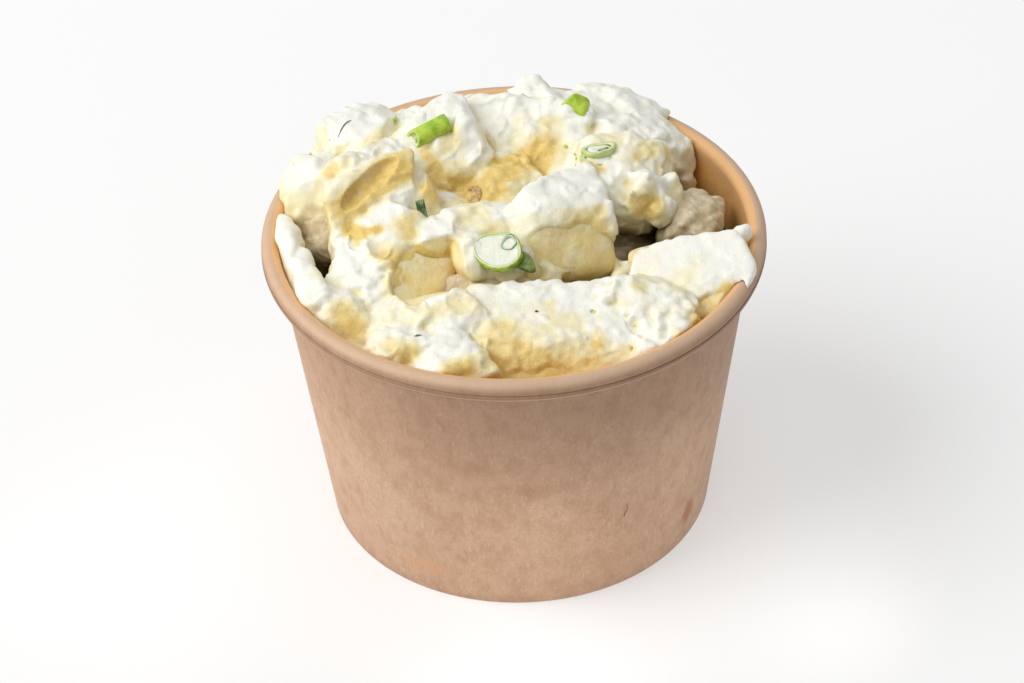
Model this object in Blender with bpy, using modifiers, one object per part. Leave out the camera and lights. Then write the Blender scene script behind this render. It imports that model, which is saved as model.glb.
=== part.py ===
"""A round kraft paper tub heaped with potato salad and scallion.

The tub's side wall ends in a rolled rim at the top and is folded in round the base at the bottom.
The salad is one solid: a core that fills the tub, with the potato blocks, lumps of dressing and tan
pieces that show fused on, then cut back from the tub and from the scallion that lies on it.
The origin is at the middle of the foot, +Z is up, and -Y is the side that faces the viewer.
"""

import math

import bmesh
import bpy
from mathutils import Euler, Matrix, Vector, noise

MM = 0.001

# Driving dimensions of the tub
TUB_HEIGHT = 63.0 * MM
RIM_RADIUS = 48.5 * MM
RIM_ROLL_WIDTH = 3.5 * MM
RIM_ROLL_HEIGHT = 4.0 * MM
FOOT_RADIUS = 37.4 * MM
BOARD = 0.45 * MM
FOOT_FOLD_HEIGHT = 7.0 * MM
FOOT_FOLD_THICKNESS = 3 * BOARD
GAP = 0.35 * MM
TURN_STEPS = 72

# The wall leans out evenly from the foot to the underside of the roll
WALL_TOP_HEIGHT = TUB_HEIGHT - RIM_ROLL_HEIGHT
WALL_TOP_RADIUS = RIM_RADIUS - RIM_ROLL_WIDTH + BOARD
WALL_SLOPE = (WALL_TOP_RADIUS - FOOT_RADIUS) / WALL_TOP_HEIGHT

# Driving dimensions of the salad
FILL_HEIGHT = 44.0 * MM
CORE_TOP_HEIGHT = 57.0 * MM
FINE_CUTS = 3
COARSE_CUTS = 2
FINE_SIZE = 9.4
# Picks the stretch of smooth noise that roughens the lumps, so it fixes the salad's shape
NOISE_SEED = 1796044674

# name: (centre, half sizes, turn in degrees, squareness, roughness), lengths in millimetres.
# Squareness is the power of the superellipsoid: 2 is an ellipsoid, and more is squarer.
POTATO = {
    "front_block": ((4, -30.5, 54.5), (16.5, 12, 9.5), (8, 0, 3), 4.0, 1.6),
    "front_left_block": ((-17, -29, 55.5), (12.5, 9.5, 8), (10, -6, 12), 3.5, 1.6),
    "left_block": ((-24, -12, 58), (12, 10, 8), (16, 6, -18), 4.0, 1.4),
    "left_slice": ((-25.5, 3.5, 66), (10.5, 9.5, 4.2), (42, -6, 30), 2.6, 1.0),
    "left_wedge": ((-17, 0, 59), (8, 7, 6.5), (0, 12, 20), 3.0, 1.2),
    "centre_block": ((10, -2, 62.5), (12, 11.5, 8.5), (14, 4, 22), 4.0, 1.4),
    "back_block": ((3, 24.5, 62.5), (13, 9, 8), (32, 0, -6), 3.5, 1.4),
    "back_left_block": ((-16, 19, 62.5), (10, 9, 8), (20, -4, 24), 3.2, 1.4),
    "right_slab": ((34, -15.5, 60.5), (12, 9.5, 4.4), (14, -7, 10), 3.6, 1.0),
    "front_right_block": ((24.5, -27, 55.5), (11.5, 10, 8), (10, 4, -22), 3.2, 1.6),
    "right_back_block": ((24.5, 12, 62), (9.8, 11, 9.5), (12, 0, -14), 3.2, 1.6),
}
DRESSING = {
    "left_tongue_tip": ((-43.2, -3, 61.2), (3.4, 8, 4.6), (0, 0, 2), 2.2, 0.5),
    "left_tongue": ((-40, -12.5, 60), (4.4, 9.5, 5), (0, 0, 16), 2.4, 0.6),
    "left_tongue_foot": ((-33.5, -22.5, 58.5), (5, 10, 5), (0, 0, 38), 2.4, 0.7),
    "left_bank": ((-33.5, 15, 63), (10, 9.5, 7.5), (10, 8, 20), 2.6, 1.4),
    "left_back_bank": ((-26, 25, 62.5), (11.5, 9.5, 8), (0, 4, 38), 2.6, 1.6),
    "back_ridge_left": ((-11.5, 29.5, 63), (9.5, 6.5, 7.5), (0, 0, 8), 2.6, 1.4),
    "back_ridge": ((4, 32.5, 62.5), (10, 8, 7.5), (0, 0, -4), 2.6, 1.4),
    "back_peak": ((5, 38, 66.5), (3.2, 3.2, 4.2), (0, 0, 0), 2.0, 0.5),
    "back_ridge_right": ((17.5, 32.5, 60.5), (11.5, 9, 7.5), (0, 0, -22), 2.6, 1.4),
    "right_back_bank": ((28, 27, 59.5), (9, 9, 7.5), (0, 4, -36), 2.6, 1.4),
    "centre_fold": ((-7, -3, 60), (12, 7.5, 6.5), (8, 0, 6), 2.8, 1.4),
    "hollow_floor": ((-3, 11, 58), (12, 9, 6), (10, 0, 0), 2.6, 1.0),
    "hanging_lobe": ((-8.5, 19, 67.5), (3.4, 8.5, 4), (34, 0, 0), 2.2, 0.6),
    "small_lump": ((-12, 7, 63.5), (4.6, 4, 3.4), (0, 0, 14), 2.2, 0.8),
    "right_drip": ((28, 3.5, 60.5), (4.4, 4.2, 8.5), (8, 0, 0), 2.2, 0.8),
    "right_cliff": ((31.5, 14, 60.5), (3.6, 8, 8.5), (0, -8, -10), 2.4, 0.8),
    "front_fold": ((-24, -34, 56.5), (9, 5.5, 5.5), (0, 0, 32), 2.6, 1.0),
    "front_lip": ((-11, -38.5, 57), (9, 4.5, 5), (0, 0, 8), 2.4, 0.8),
    "front_right_fold": ((20, -20.5, 59), (11, 5.5, 5.5), (0, 4, -8), 2.6, 1.2),
    "front_right_lip": ((28, -32, 56), (8, 5.5, 5.5), (0, 0, -40), 2.4, 1.0),
}
TAN_PIECES = {
    "right_tan_piece": ((33.5, 4.5, 55.5), (6, 7.5, 6.5), (0, 0, -12), 2.8, 1.4),
    "middle_tan_piece": ((21, -1.5, 54.5), (7, 7, 6), (0, 0, 10), 2.8, 1.2),
    "left_tan_piece": ((-34.5, 3, 56.5), (7, 6.5, 7), (0, 0, 8), 2.8, 1.4),
    "front_tan_piece": ((-8, -13.5, 57), (7, 6, 5.5), (0, 0, 0), 2.8, 1.0),
}

# Cut scallion that lies on the salad, each an oval tube along its own axis.
# name: (centre, direction of the axis, turn of the oval's long side from +X in degrees,
# half sizes of the oval, half length, wall thickness, depth of the opening), in millimetres.
# A wall of 0 is a solid piece.
RING_STEPS = 20
SCALLION = {
    "scallion_ring_front": ((-2.5, -12.2, 66.2), (-0.34, -0.3, 0.89), -6, (5.9, 4.5), 2.1, 0.8, 1.0),
    "scallion_stem_left": ((-15.6, 19.8, 71.8), (-7.2, -3.4, -2.6), 0, (2.1, 1.9), 4.2, 0.6, 3.0),
    "scallion_leaf_back": ((12.9, 30.8, 69.8), (0.2, -0.8, 0.6), 35, (3.1, 2.4), 1.3, 0.0, 0.0),
    "scallion_slices_back": ((15.5, 13.8, 72.6), (0.05, -0.35, 0.93), 4, (3.5, 2.4), 1.3, 0.7, 1.2),
    "scallion_sliver_left": ((-16.8, 1.6, 65.8), (0.1, -0.5, -0.85), 12, (1.3, 1.0), 2.8, 0.0, 0.0),
    "scallion_bit_right": ((20.0, -1.2, 66.6), (0.35, 0.2, -0.9), 0, (1.5, 1.2), 3.4, 0.0, 0.0),
}


def clear_scene():
    for obj in list(bpy.data.objects):
        bpy.data.objects.remove(obj, do_unlink=True)


def material(name, colour, roughness, metallic=0.0):
    made = bpy.data.materials.new(name)
    made.use_nodes = True
    shader = made.node_tree.nodes["Principled BSDF"]
    shader.inputs["Base Color"].default_value = (*colour, 1.0)
    shader.inputs["Roughness"].default_value = roughness
    shader.inputs["Metallic"].default_value = metallic
    made.diffuse_color = (*colour, 1.0)
    return made


def collection(name, parent=None):
    made = bpy.data.collections.new(name)
    (parent or bpy.context.scene.collection).children.link(made)
    return made


def wall_outer_radius(height):
    return FOOT_RADIUS + WALL_SLOPE * height


def wall_inner_radius(height):
    return wall_outer_radius(height) - BOARD


def arc(centre, half_width, half_height, start, end, steps):
    """Points along part of an ellipse, from one angle to another, in degrees."""
    points = []
    for i in range(steps + 1):
        angle = math.radians(start + (end - start) * i / steps)
        points.append((centre[0] + half_width * math.cos(angle), centre[1] + half_height * math.sin(angle)))
    return points


def rim_roll_profile(grown=0.0):
    """The roll's outline from its inner side over the top and down its outer side to the wall."""
    bead_half = RIM_ROLL_WIDTH / 2 + grown
    bead_centre = (RIM_RADIUS - RIM_ROLL_WIDTH / 2, TUB_HEIGHT - RIM_ROLL_WIDTH / 2)
    lip_half = 0.32 * RIM_ROLL_HEIGHT + grown
    lip_centre = (RIM_RADIUS - 0.36 * RIM_ROLL_WIDTH, WALL_TOP_HEIGHT + 0.32 * RIM_ROLL_HEIGHT)
    bead = arc(bead_centre, bead_half, bead_half, 180, -18, 10)
    lip = arc(lip_centre, lip_half, lip_half, 12, -90, 5)
    return bead + lip


def turned(name, profile, where, closed=True):
    """A profile in the XZ plane carried once round the Z axis by a Screw modifier."""
    mesh = bpy.data.meshes.new(name)
    points = [(radius, 0.0, height) for radius, height in profile]
    edges = [(i, i + 1) for i in range(len(points) - 1)]
    if closed:
        edges.append((len(points) - 1, 0))
    mesh.from_pydata(points, edges, [])
    made = bpy.data.objects.new(name, mesh)
    where.objects.link(made)
    screw = made.modifiers.new("Turn", "SCREW")
    screw.axis = "Z"
    screw.steps = screw.render_steps = TURN_STEPS
    screw.use_merge_vertices = True
    screw.merge_threshold = 0.00001
    screw.use_smooth_shade = True
    return made


def make_tub_wall(where):
    """The cone of board with its rolled rim, and three layers of board where the foot is folded."""
    fold_radius = FOOT_RADIUS - FOOT_FOLD_THICKNESS
    profile = rim_roll_profile()
    profile += [
        (WALL_TOP_RADIUS, WALL_TOP_HEIGHT),
        (wall_outer_radius(TUB_HEIGHT / 2), TUB_HEIGHT / 2),
        (FOOT_RADIUS, 0.0),
        (fold_radius, 0.0),
        (fold_radius, FOOT_FOLD_HEIGHT - BOARD),
        (wall_inner_radius(FOOT_FOLD_HEIGHT), FOOT_FOLD_HEIGHT),
        (wall_inner_radius(TUB_HEIGHT / 2), TUB_HEIGHT / 2),
    ]
    wall = turned("tub_wall", profile, where)
    wall.data.materials.append(material("kraft_board", (0.42, 0.27, 0.17), 0.75))
    return wall


def make_tub_base(where):
    """The round base, set up inside the foot, with its edge turned down against the fold."""
    radius = FOOT_RADIUS - FOOT_FOLD_THICKNESS - GAP
    top = FOOT_FOLD_HEIGHT - BOARD
    profile = [
        (0.0, top),
        (radius - BOARD, top),
        (radius, top - BOARD),
        (radius, 2 * BOARD),
        (radius - BOARD, 2 * BOARD),
        (radius - BOARD, top - BOARD),
        (0.0, top - BOARD),
    ]
    base = turned("tub_base", profile, where, closed=False)
    base.data.materials.append(material("base_board", (0.45, 0.30, 0.19), 0.75))
    return base


def make_core(where):
    """The filling of the tub: its side follows the wall to the fill line, and a low dome closes it."""
    foot = FOOT_FOLD_HEIGHT + GAP
    rows = 5
    dome = []
    edge = wall_inner_radius(FILL_HEIGHT) - GAP
    for i in range(rows + 1):
        angle = math.radians(90.0 * i / rows)
        dome.append((edge * math.sin(angle), FILL_HEIGHT + (CORE_TOP_HEIGHT - FILL_HEIGHT) * math.cos(angle)))
    profile = dome + [(wall_inner_radius(foot) - GAP, foot), (0.0, foot)]
    profile[0] = (0.0, CORE_TOP_HEIGHT)
    core = turned("core", profile, where, closed=False)
    core.modifiers["Turn"].steps = core.modifiers["Turn"].render_steps = 40
    return core


def make_block(name, recipe, where):
    """A cube cut into a grid, pushed out to a superellipsoid, turned, and roughened by smooth noise."""
    centre, half, turn, power, rough = recipe
    cuts = FINE_CUTS if max(half) > FINE_SIZE else COARSE_CUTS
    shape = bmesh.new()
    bmesh.ops.create_cube(shape, size=2.0)
    bmesh.ops.subdivide_edges(shape, edges=shape.edges[:], cuts=cuts, use_grid_fill=True)
    rotation = Euler([math.radians(a) for a in turn]).to_matrix()
    for vertex in shape.verts:
        p = vertex.co
        reach = sum(abs(c) ** power for c in p) ** (1.0 / power)
        p = Vector((c / reach * h for c, h in zip(p, half)))
        p = rotation @ p + Vector(centre)
        push = noise.noise_vector(p * 0.13) + 0.45 * noise.noise_vector(p * 0.31)
        vertex.co = (p + push * rough) * MM
    bmesh.ops.triangulate(shape, faces=shape.faces[:])
    bmesh.ops.recalc_face_normals(shape, faces=shape.faces[:])
    mesh = bpy.data.meshes.new(name)
    shape.to_mesh(mesh)
    shape.free()
    made = bpy.data.objects.new(name, mesh)
    where.objects.link(made)
    return made


def scallion_mesh(name, half, half_length, wall, opening, grown=0.0):
    """An oval bar along its own Z axis, with an opening in its upper end where it has a wall."""
    shape = bmesh.new()
    outer = [half[0] + grown, half[1] + grown]
    reach = half_length + grown
    bevel = 0.25

    def oval(size, height):
        steps = (2 * math.pi * i / RING_STEPS for i in range(RING_STEPS))
        return [shape.verts.new((size[0] * math.cos(a), size[1] * math.sin(a), height)) for a in steps]

    smaller = [outer[0] - bevel, outer[1] - bevel]
    loops = [oval(smaller, -reach), oval(outer, bevel - reach), oval(outer, reach - bevel), oval(smaller, reach)]
    if wall:
        inner = [half[0] - wall, half[1] - wall]
        loops += [oval(inner, reach), oval(inner, reach - opening)]
    for lower, upper in zip(loops, loops[1:]):
        for i in range(RING_STEPS):
            j = (i + 1) % RING_STEPS
            shape.faces.new((lower[i], lower[j], upper[j], upper[i]))
    shape.faces.new(list(reversed(loops[0])))
    shape.faces.new(loops[-1])
    bmesh.ops.recalc_face_normals(shape, faces=shape.faces[:])
    mesh = bpy.data.meshes.new(name)
    shape.to_mesh(mesh)
    shape.free()
    return mesh


def make_scallion(name, where, grown=0.0):
    """One cut piece of scallion, or with grown the filled pocket that it needs in the salad."""
    centre, axis, roll, half, half_length, wall, opening = SCALLION[name]
    mesh = scallion_mesh(name, half, half_length, 0.0 if grown else wall, opening, grown)
    up = Vector(axis).normalized()
    across = (Vector((1, 0, 0)) - up * up.x).normalized()
    along = Matrix((across, up.cross(across), up)).transposed().to_4x4()
    spin = Matrix.Rotation(math.radians(roll), 4, "Z")
    mesh.transform(Matrix.Scale(MM, 4) @ Matrix.Translation(centre) @ along @ spin)
    made = bpy.data.objects.new(name + ("_pocket" if grown else ""), mesh)
    where.objects.link(made)
    return made


def apply_modifiers(obj):
    """Replaces the object's mesh with what its modifiers make of it."""
    graph = bpy.context.evaluated_depsgraph_get()
    mesh = bpy.data.meshes.new_from_object(obj.evaluated_get(graph))
    obj.modifiers.clear()
    obj.data = mesh


def join_or_cut(obj, others, operation):
    boolean = obj.modifiers.new(operation.title(), "BOOLEAN")
    boolean.operation = operation
    boolean.operand_type = "COLLECTION"
    boolean.collection = others
    boolean.solver = "MANIFOLD"
    apply_modifiers(obj)
    for other in list(others.objects):
        bpy.data.objects.remove(other, do_unlink=True)
    bpy.data.collections.remove(others)


def keep_largest_piece(obj):
    """Drops the loose scraps and the sealed hollows that the union and the cuts leave."""
    shape = bmesh.new()
    shape.from_mesh(obj.data)
    shape.faces.index_update()
    piece_of = [-1] * len(shape.faces)
    sizes = []
    for first in shape.faces:
        if piece_of[first.index] >= 0:
            continue
        piece_of[first.index] = len(sizes)
        stack = [first]
        count = 0
        while stack:
            face = stack.pop()
            count += 1
            for edge in face.edges:
                for neighbour in edge.link_faces:
                    if piece_of[neighbour.index] < 0:
                        piece_of[neighbour.index] = len(sizes)
                        stack.append(neighbour)
        sizes.append(count)
    largest = sizes.index(max(sizes))
    scraps = [face for face in shape.faces if piece_of[face.index] != largest]
    bmesh.ops.delete(shape, geom=scraps, context="FACES")
    shape.to_mesh(obj.data)
    shape.free()


def tub_envelope_profile():
    """All that the salad must clear: the wall and rim, a gap larger, and what is outside the tub."""
    outside = RIM_RADIUS + 20 * MM
    roll = rim_roll_profile(GAP)
    inner_top = (wall_inner_radius(WALL_TOP_HEIGHT) - GAP, WALL_TOP_HEIGHT)
    profile = roll[:9]
    profile += [(outside, TUB_HEIGHT - RIM_ROLL_WIDTH / 2), (outside, -2 * MM)]
    profile += [(wall_inner_radius(-2 * MM) - GAP, -2 * MM), inner_top]
    return profile


def make_salad(where):
    blocks = collection("blocks")
    for name, recipe in (POTATO | DRESSING | TAN_PIECES).items():
        make_block(name, recipe, blocks)
    salad = make_core(where)
    salad.name = "potato_salad"
    apply_modifiers(salad)
    join_or_cut(salad, blocks, "UNION")
    cutters = collection("cutters")
    apply_modifiers(turned("tub_envelope", tub_envelope_profile(), cutters))
    for name in SCALLION:
        make_scallion(name, cutters, grown=GAP / MM)
    join_or_cut(salad, cutters, "DIFFERENCE")
    keep_largest_piece(salad)
    salad.data.name = "potato_salad"
    salad.data.materials.clear()
    salad.data.materials.append(material("potato_and_dressing", (0.86, 0.78, 0.52), 0.5))
    return salad


def main():
    clear_scene()
    noise.seed_set(NOISE_SEED)
    tub = collection("potato_salad_tub")
    make_tub_wall(tub)
    make_tub_base(tub)
    make_salad(tub)
    green = material("scallion_green", (0.30, 0.48, 0.06), 0.4)
    for name in SCALLION:
        make_scallion(name, tub).data.materials.append(green)


main()
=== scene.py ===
import math
import bpy
import numpy as np
from mathutils import Euler, Matrix, Vector


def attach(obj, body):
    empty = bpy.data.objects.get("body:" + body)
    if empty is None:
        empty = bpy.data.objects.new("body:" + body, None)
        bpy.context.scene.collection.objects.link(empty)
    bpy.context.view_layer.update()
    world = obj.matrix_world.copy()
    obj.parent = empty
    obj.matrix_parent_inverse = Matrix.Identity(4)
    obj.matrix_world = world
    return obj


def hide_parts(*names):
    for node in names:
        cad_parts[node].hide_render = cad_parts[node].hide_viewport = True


# Potato salad in a kraft paper tub: the looks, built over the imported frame. Lengths are in millimetres
# until a mesh, a material or a lamp is made. +Z is up and the viewer stands at -Y.

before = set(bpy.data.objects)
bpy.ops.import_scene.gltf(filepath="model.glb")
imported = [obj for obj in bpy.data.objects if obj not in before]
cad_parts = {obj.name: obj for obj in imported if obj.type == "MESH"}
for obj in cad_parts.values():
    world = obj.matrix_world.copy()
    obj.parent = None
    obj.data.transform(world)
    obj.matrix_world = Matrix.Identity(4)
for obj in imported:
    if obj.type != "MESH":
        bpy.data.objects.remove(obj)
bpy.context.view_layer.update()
mm = 0.001
# where each kind of piece starts its random draws
seeds = {"potato": 40, "tan": 60, "warp": 70, "dressing": 90, "wisps": 150, "scoops": 190, "core": 301,
         "scallion": 500, "specks": 700}


def shade(colour):
    # screen colour 0-255 to the linear light that the shaders read
    linear = [c / 255 / 12.92 if c / 255 <= 0.04045 else ((c / 255 + 0.055) / 1.055) ** 2.4 for c in colour]
    return (*linear, 1.0)


def smooth(low, high, x):
    # smooth step: 3t^2 - 2t^3, with t running from 0 at low to 1 at high
    t = np.clip((x - low) / (high - low), 0, 1)
    return t * t * (3 - 2 * t)


def putInScene(name, points, faces, material, slot, replaced=()):
    # points in millimetres and an (n, 3) or (n, 4) array of faces become one mesh object on the body
    mesh = bpy.data.meshes.new(name)
    points = np.asarray(points, np.float64) * mm
    faces = np.asarray(faces, np.int64)
    mesh.vertices.add(len(points))
    mesh.vertices.foreach_set("co", points.ravel())
    mesh.loops.add(faces.size)
    mesh.loops.foreach_set("vertex_index", faces.ravel().astype(np.int32))
    mesh.polygons.add(len(faces))
    mesh.polygons.foreach_set("loop_start", np.arange(0, faces.size, faces.shape[1], dtype=np.int32))
    mesh.polygons.foreach_set("use_smooth", np.ones(len(faces), bool))
    mesh.update(calc_edges=True)
    mesh.validate()
    piece = bpy.data.objects.new(name, mesh)
    bpy.context.scene.collection.objects.link(piece)
    mesh.materials.append(material)
    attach(piece, "root")
    if replaced:
        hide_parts(*replaced)
    return piece


def addValues(piece, name, values):
    # one number per point, for the material to read
    made = piece.data.attributes.new(name, "FLOAT", "POINT")
    made.data.foreach_set("value", np.asarray(values, np.float32))


def ringOf(count):
    # the angles of points evenly round a circle
    return np.linspace(0, 2 * math.pi, count, endpoint=False)


def gridFaces(rows, columns):
    # four-sided faces of a rows x columns grid of points, closed round its columns
    i, j = np.meshgrid(np.arange(rows - 1), np.arange(columns), indexing="ij")
    k = (j + 1) % columns
    quads = np.stack([i * columns + j, i * columns + k, (i + 1) * columns + k, (i + 1) * columns + j], -1)
    return quads.reshape(-1, 4)


def closedTube(points, columns, firstEnd, lastEnd):
    # a grid closed round its columns, with a fan to one middle point at each end; the faces are turned
    # round if the volume, the sum of p0.(p1 x p2) / 6, comes out negative
    count = len(points)
    quads = gridFaces(count // columns, columns)
    j = np.arange(columns)
    k = (j + 1) % columns
    last = count - columns
    points = np.vstack([points, firstEnd, lastEnd])
    faces = np.concatenate([quads[:, [0, 1, 2]], quads[:, [0, 2, 3]],
                            np.stack([np.full(columns, count), k, j], 1),
                            np.stack([np.full(columns, count + 1), last + j, last + k], 1)])
    p = points[faces]
    volume = (p[:, 0] * np.cross(p[:, 1], p[:, 2])).sum()
    return points, faces if volume > 0 else faces[:, ::-1]


def joined(parts):
    # several (points, faces) as one mesh
    starts = np.cumsum([0] + [len(points) for points, faces in parts])
    return (np.concatenate([points for points, faces in parts]),
            np.concatenate([faces + start for start, (points, faces) in zip(starts, parts)]))


def newMaterial(name, roughness, specular=0.5, subsurface=None, coat=None):
    # subsurface: its weight, how far red, green and blue go in, and the metres of that; coat: its weight
    # and roughness
    made = bpy.data.materials.new(name)
    made.use_nodes = True
    tree = made.node_tree
    tree.nodes.new("ShaderNodeTexCoord").name = "coords"
    settings = {"Roughness": roughness, "Specular IOR Level": specular}
    if subsurface:
        settings.update(zip(("Subsurface Weight", "Subsurface Radius", "Subsurface Scale"), subsurface))
    if coat:
        settings.update(zip(("Coat Weight", "Coat Roughness"), coat))
    for socket, value in settings.items():
        tree.nodes["Principled BSDF"].inputs[socket].default_value = value
    return made, tree


def noiseNode(tree, scale, detail=3.0, roughness=0.5, stretch=None, distortion=0.0):
    # noise in object coordinates; scale is in waves per metre, stretch lengthens it along an axis
    node = tree.nodes.new("ShaderNodeTexNoise")
    for name, number in (("Scale", scale), ("Detail", detail), ("Roughness", roughness),
                         ("Distortion", distortion)):
        node.inputs[name].default_value = number
    source = tree.nodes["coords"].outputs["Object"]
    if stretch:
        mapping = tree.nodes.new("ShaderNodeMapping")
        mapping.inputs["Scale"].default_value = stretch
        tree.links.new(source, mapping.inputs["Vector"])
        source = mapping.outputs["Vector"]
    tree.links.new(source, node.inputs["Vector"])
    return node.outputs["Fac"]


def placeAlong(tree, axis):
    # object coordinate along X, Y or Z, in metres
    node = tree.nodes.get("place")
    if not node:
        node = tree.nodes.new("ShaderNodeSeparateXYZ")
        node.name = "place"
        tree.links.new(tree.nodes["coords"].outputs["Object"], node.inputs["Vector"])
    return node.outputs[axis]


def readValue(tree, name):
    node = tree.nodes.new("ShaderNodeAttribute")
    node.attribute_name = name
    return node.outputs["Fac"]


def remap(tree, value, low, high, toLow=0.0, toHigh=1.0):
    # smooth step from toLow, where the value is low, to toHigh
    node = tree.nodes.new("ShaderNodeMapRange")
    node.interpolation_type = "SMOOTHSTEP"
    for name, number in (("From Min", low), ("From Max", high), ("To Min", toLow), ("To Max", toHigh)):
        node.inputs[name].default_value = number
    tree.links.new(value, node.inputs["Value"])
    return node.outputs["Result"]


def calculate(tree, operation, first, second):
    node = tree.nodes.new("ShaderNodeMath")
    node.operation = operation
    for socket, value in zip(node.inputs, (first, second)):
        if isinstance(value, (int, float)):
            socket.default_value = value
        else:
            tree.links.new(value, socket)
    return node.outputs["Value"]


def total(tree, *parts):
    # sum of each source times its share
    value = None
    for source, share in parts:
        part = calculate(tree, "MULTIPLY", source, share)
        value = part if value is None else calculate(tree, "ADD", value, part)
    return value


def bandNode(tree, value, rise, fall, most):
    # rises to the most between the first two numbers, and falls to 0 between the others
    return calculate(tree, "MULTIPLY", remap(tree, value, *rise, 0, most), remap(tree, value, *fall))


def blendColour(tree, factor, first, second):
    # first and second are screen colours or node outputs
    node = tree.nodes.new("ShaderNodeMix")
    node.data_type = "RGBA"
    tree.links.new(factor, node.inputs["Factor"])
    for socket, value in ((node.inputs["A"], first), (node.inputs["B"], second)):
        if isinstance(value, tuple):
            socket.default_value = shade(value)
        else:
            tree.links.new(value, socket)
    return node.outputs["Result"]


def painted(tree, colour, *coats):
    # coats laid one over the other: source, its low and high, the coat's strength at each, its colour
    for source, low, high, toLow, toHigh, paint in coats:
        colour = blendColour(tree, remap(tree, source, low, high, toLow, toHigh), colour, paint)
    return colour


def dressed(tree, colour, *bumps):
    # colour and bumps on the shader; a bump is its height, strength and distance in metres
    shader = tree.nodes["Principled BSDF"]
    tree.links.new(colour, shader.inputs["Base Color"])
    normal = None
    for height, strength, distance in bumps:
        node = tree.nodes.new("ShaderNodeBump")
        node.inputs["Strength"].default_value = strength
        node.inputs["Distance"].default_value = distance
        tree.links.new(height, node.inputs["Height"])
        if normal:
            tree.links.new(normal, node.inputs["Normal"])
        normal = node.outputs["Normal"]
    tree.links.new(normal, shader.inputs["Normal"])


tub = {
    "height": 63.0,
    "rimRadius": 48.5,
    "rollWidth": 3.5,
    "rollHeight": 4.0,
    "footRadius": 37.4,
    "board": 0.45,
    "foldHeight": 7.0,
    "around": 360,          # points round the tub
    "wobble": 0.10,         # how far the rolled rim wanders from a true circle
    "wobbleDepth": 14,      # from this far below the roll upwards
    "inAndOut": ((1, 2, 0.6), (0.6, 3, 2.1), (0.35, 7, 1.0)),   # waves: size, number round, phase
    "upAndDown": ((1, 3, 0), (0.5, 5, 1.3)),
    "upShare": 0.35,
    "beadArc": (176, -26, 34),      # the roll, its lip and the toe of the wall: from, to, points
    "lipArc": (20, -96, 16),
    "toeArc": (0, -90, 6),
    "lipHalf": 0.30,        # of the roll's height
    "lipInset": 0.36,       # of the roll's width
    "toe": 0.45,
    "wallRows": 26,
    "innerRows": 30,
    "insideFrom": 13,       # points of the roll that show the inside of the board
    "baseAround": 180,
    "baseGap": 0.12,        # between the floor disc and the folded foot
    "baseMiddle": 12,
    "baseBend": 0.6,
}
tub["wallTop"] = tub["height"] - tub["rollHeight"]
tub["wallTopRadius"] = tub["rimRadius"] - tub["rollWidth"] + tub["board"]
tub["slope"] = (tub["wallTopRadius"] - tub["footRadius"]) / tub["wallTop"]
# base, dark and pale colour of the board, its roughness, specular level, and its coat with its roughness
kraft = {
    "kraftOutside": ((192, 156, 128), (166, 127, 98), (218, 188, 160), 0.55, 0.32, (0.0, 0.28)),
    "kraftInside": ((250, 192, 120), (226, 162, 94), (253, 212, 156), 0.42, 0.45, (0.25, 0.28)),
}
# soft stains on the outside: a place, half sizes of the oval, its colour and strength
kraftMarks = {
    "grease": ((32.6, -20.8, 8.3), (1.8, 3.4, 3.2), (160, 96, 60), 0.75),
    "smudge": ((-19.1, -33.3, 7.0), (5.2, 4.4, 2.0), (206, 144, 98), 0.34),
    "blotchHigh": ((-9.5, -41.5, 37.6), (7.0, 5.0, 3.0), (156, 118, 88), 0.22),
    "blotchMiddle": ((4.4, -41.6, 32.2), (8.0, 5.0, 2.6), (156, 118, 88), 0.26),
    "blotchLow": ((16.7, -34.7, 8.2), (6.0, 4.0, 2.4), (170, 126, 92), 0.20),
}


def wallInner(height):
    # the inside of the cone: a straight line from foot to roll, upright from there on
    cone = tub["footRadius"] + tub["slope"] * np.asarray(height, float) - tub["board"]
    return np.minimum(cone, tub["rimRadius"] - tub["rollWidth"])


def arcPoints(centre, radius, start, end, count):
    # part of a circle: centre + radius (cos t, sin t)
    t = np.radians(np.linspace(start, end, count))
    return np.stack([centre[0] + radius * np.cos(t), centre[1] + radius * np.sin(t)], 1)


def carriedRound(profile, around, wobble=0.0):
    # a profile of (radius, height) points carried round the axis: x = r cos a, y = r sin a, with the
    # points above the wall moved in and out by a slow wave of a; rows are the profile, columns angles
    a = ringOf(around)[None, :]
    r, z = profile[:, :1], profile[:, 1:]
    share = wobble * smooth(tub["wallTop"] - tub["wobbleDepth"], tub["height"], z)
    inward, upward = [sum(size * np.sin(number * a + phase) for size, number, phase in tub[waves])
                      for waves in ("inAndOut", "upAndDown")]
    most, highest = [sum(size for size, number, phase in tub[waves]) for waves in ("inAndOut", "upAndDown")]
    r = r - share * (1 + inward / most)
    lift = tub["upShare"] * share * (upward - highest)
    return np.stack([r * np.cos(a), r * np.sin(a), z + lift + 0 * a], -1).reshape(-1, 3)


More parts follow.
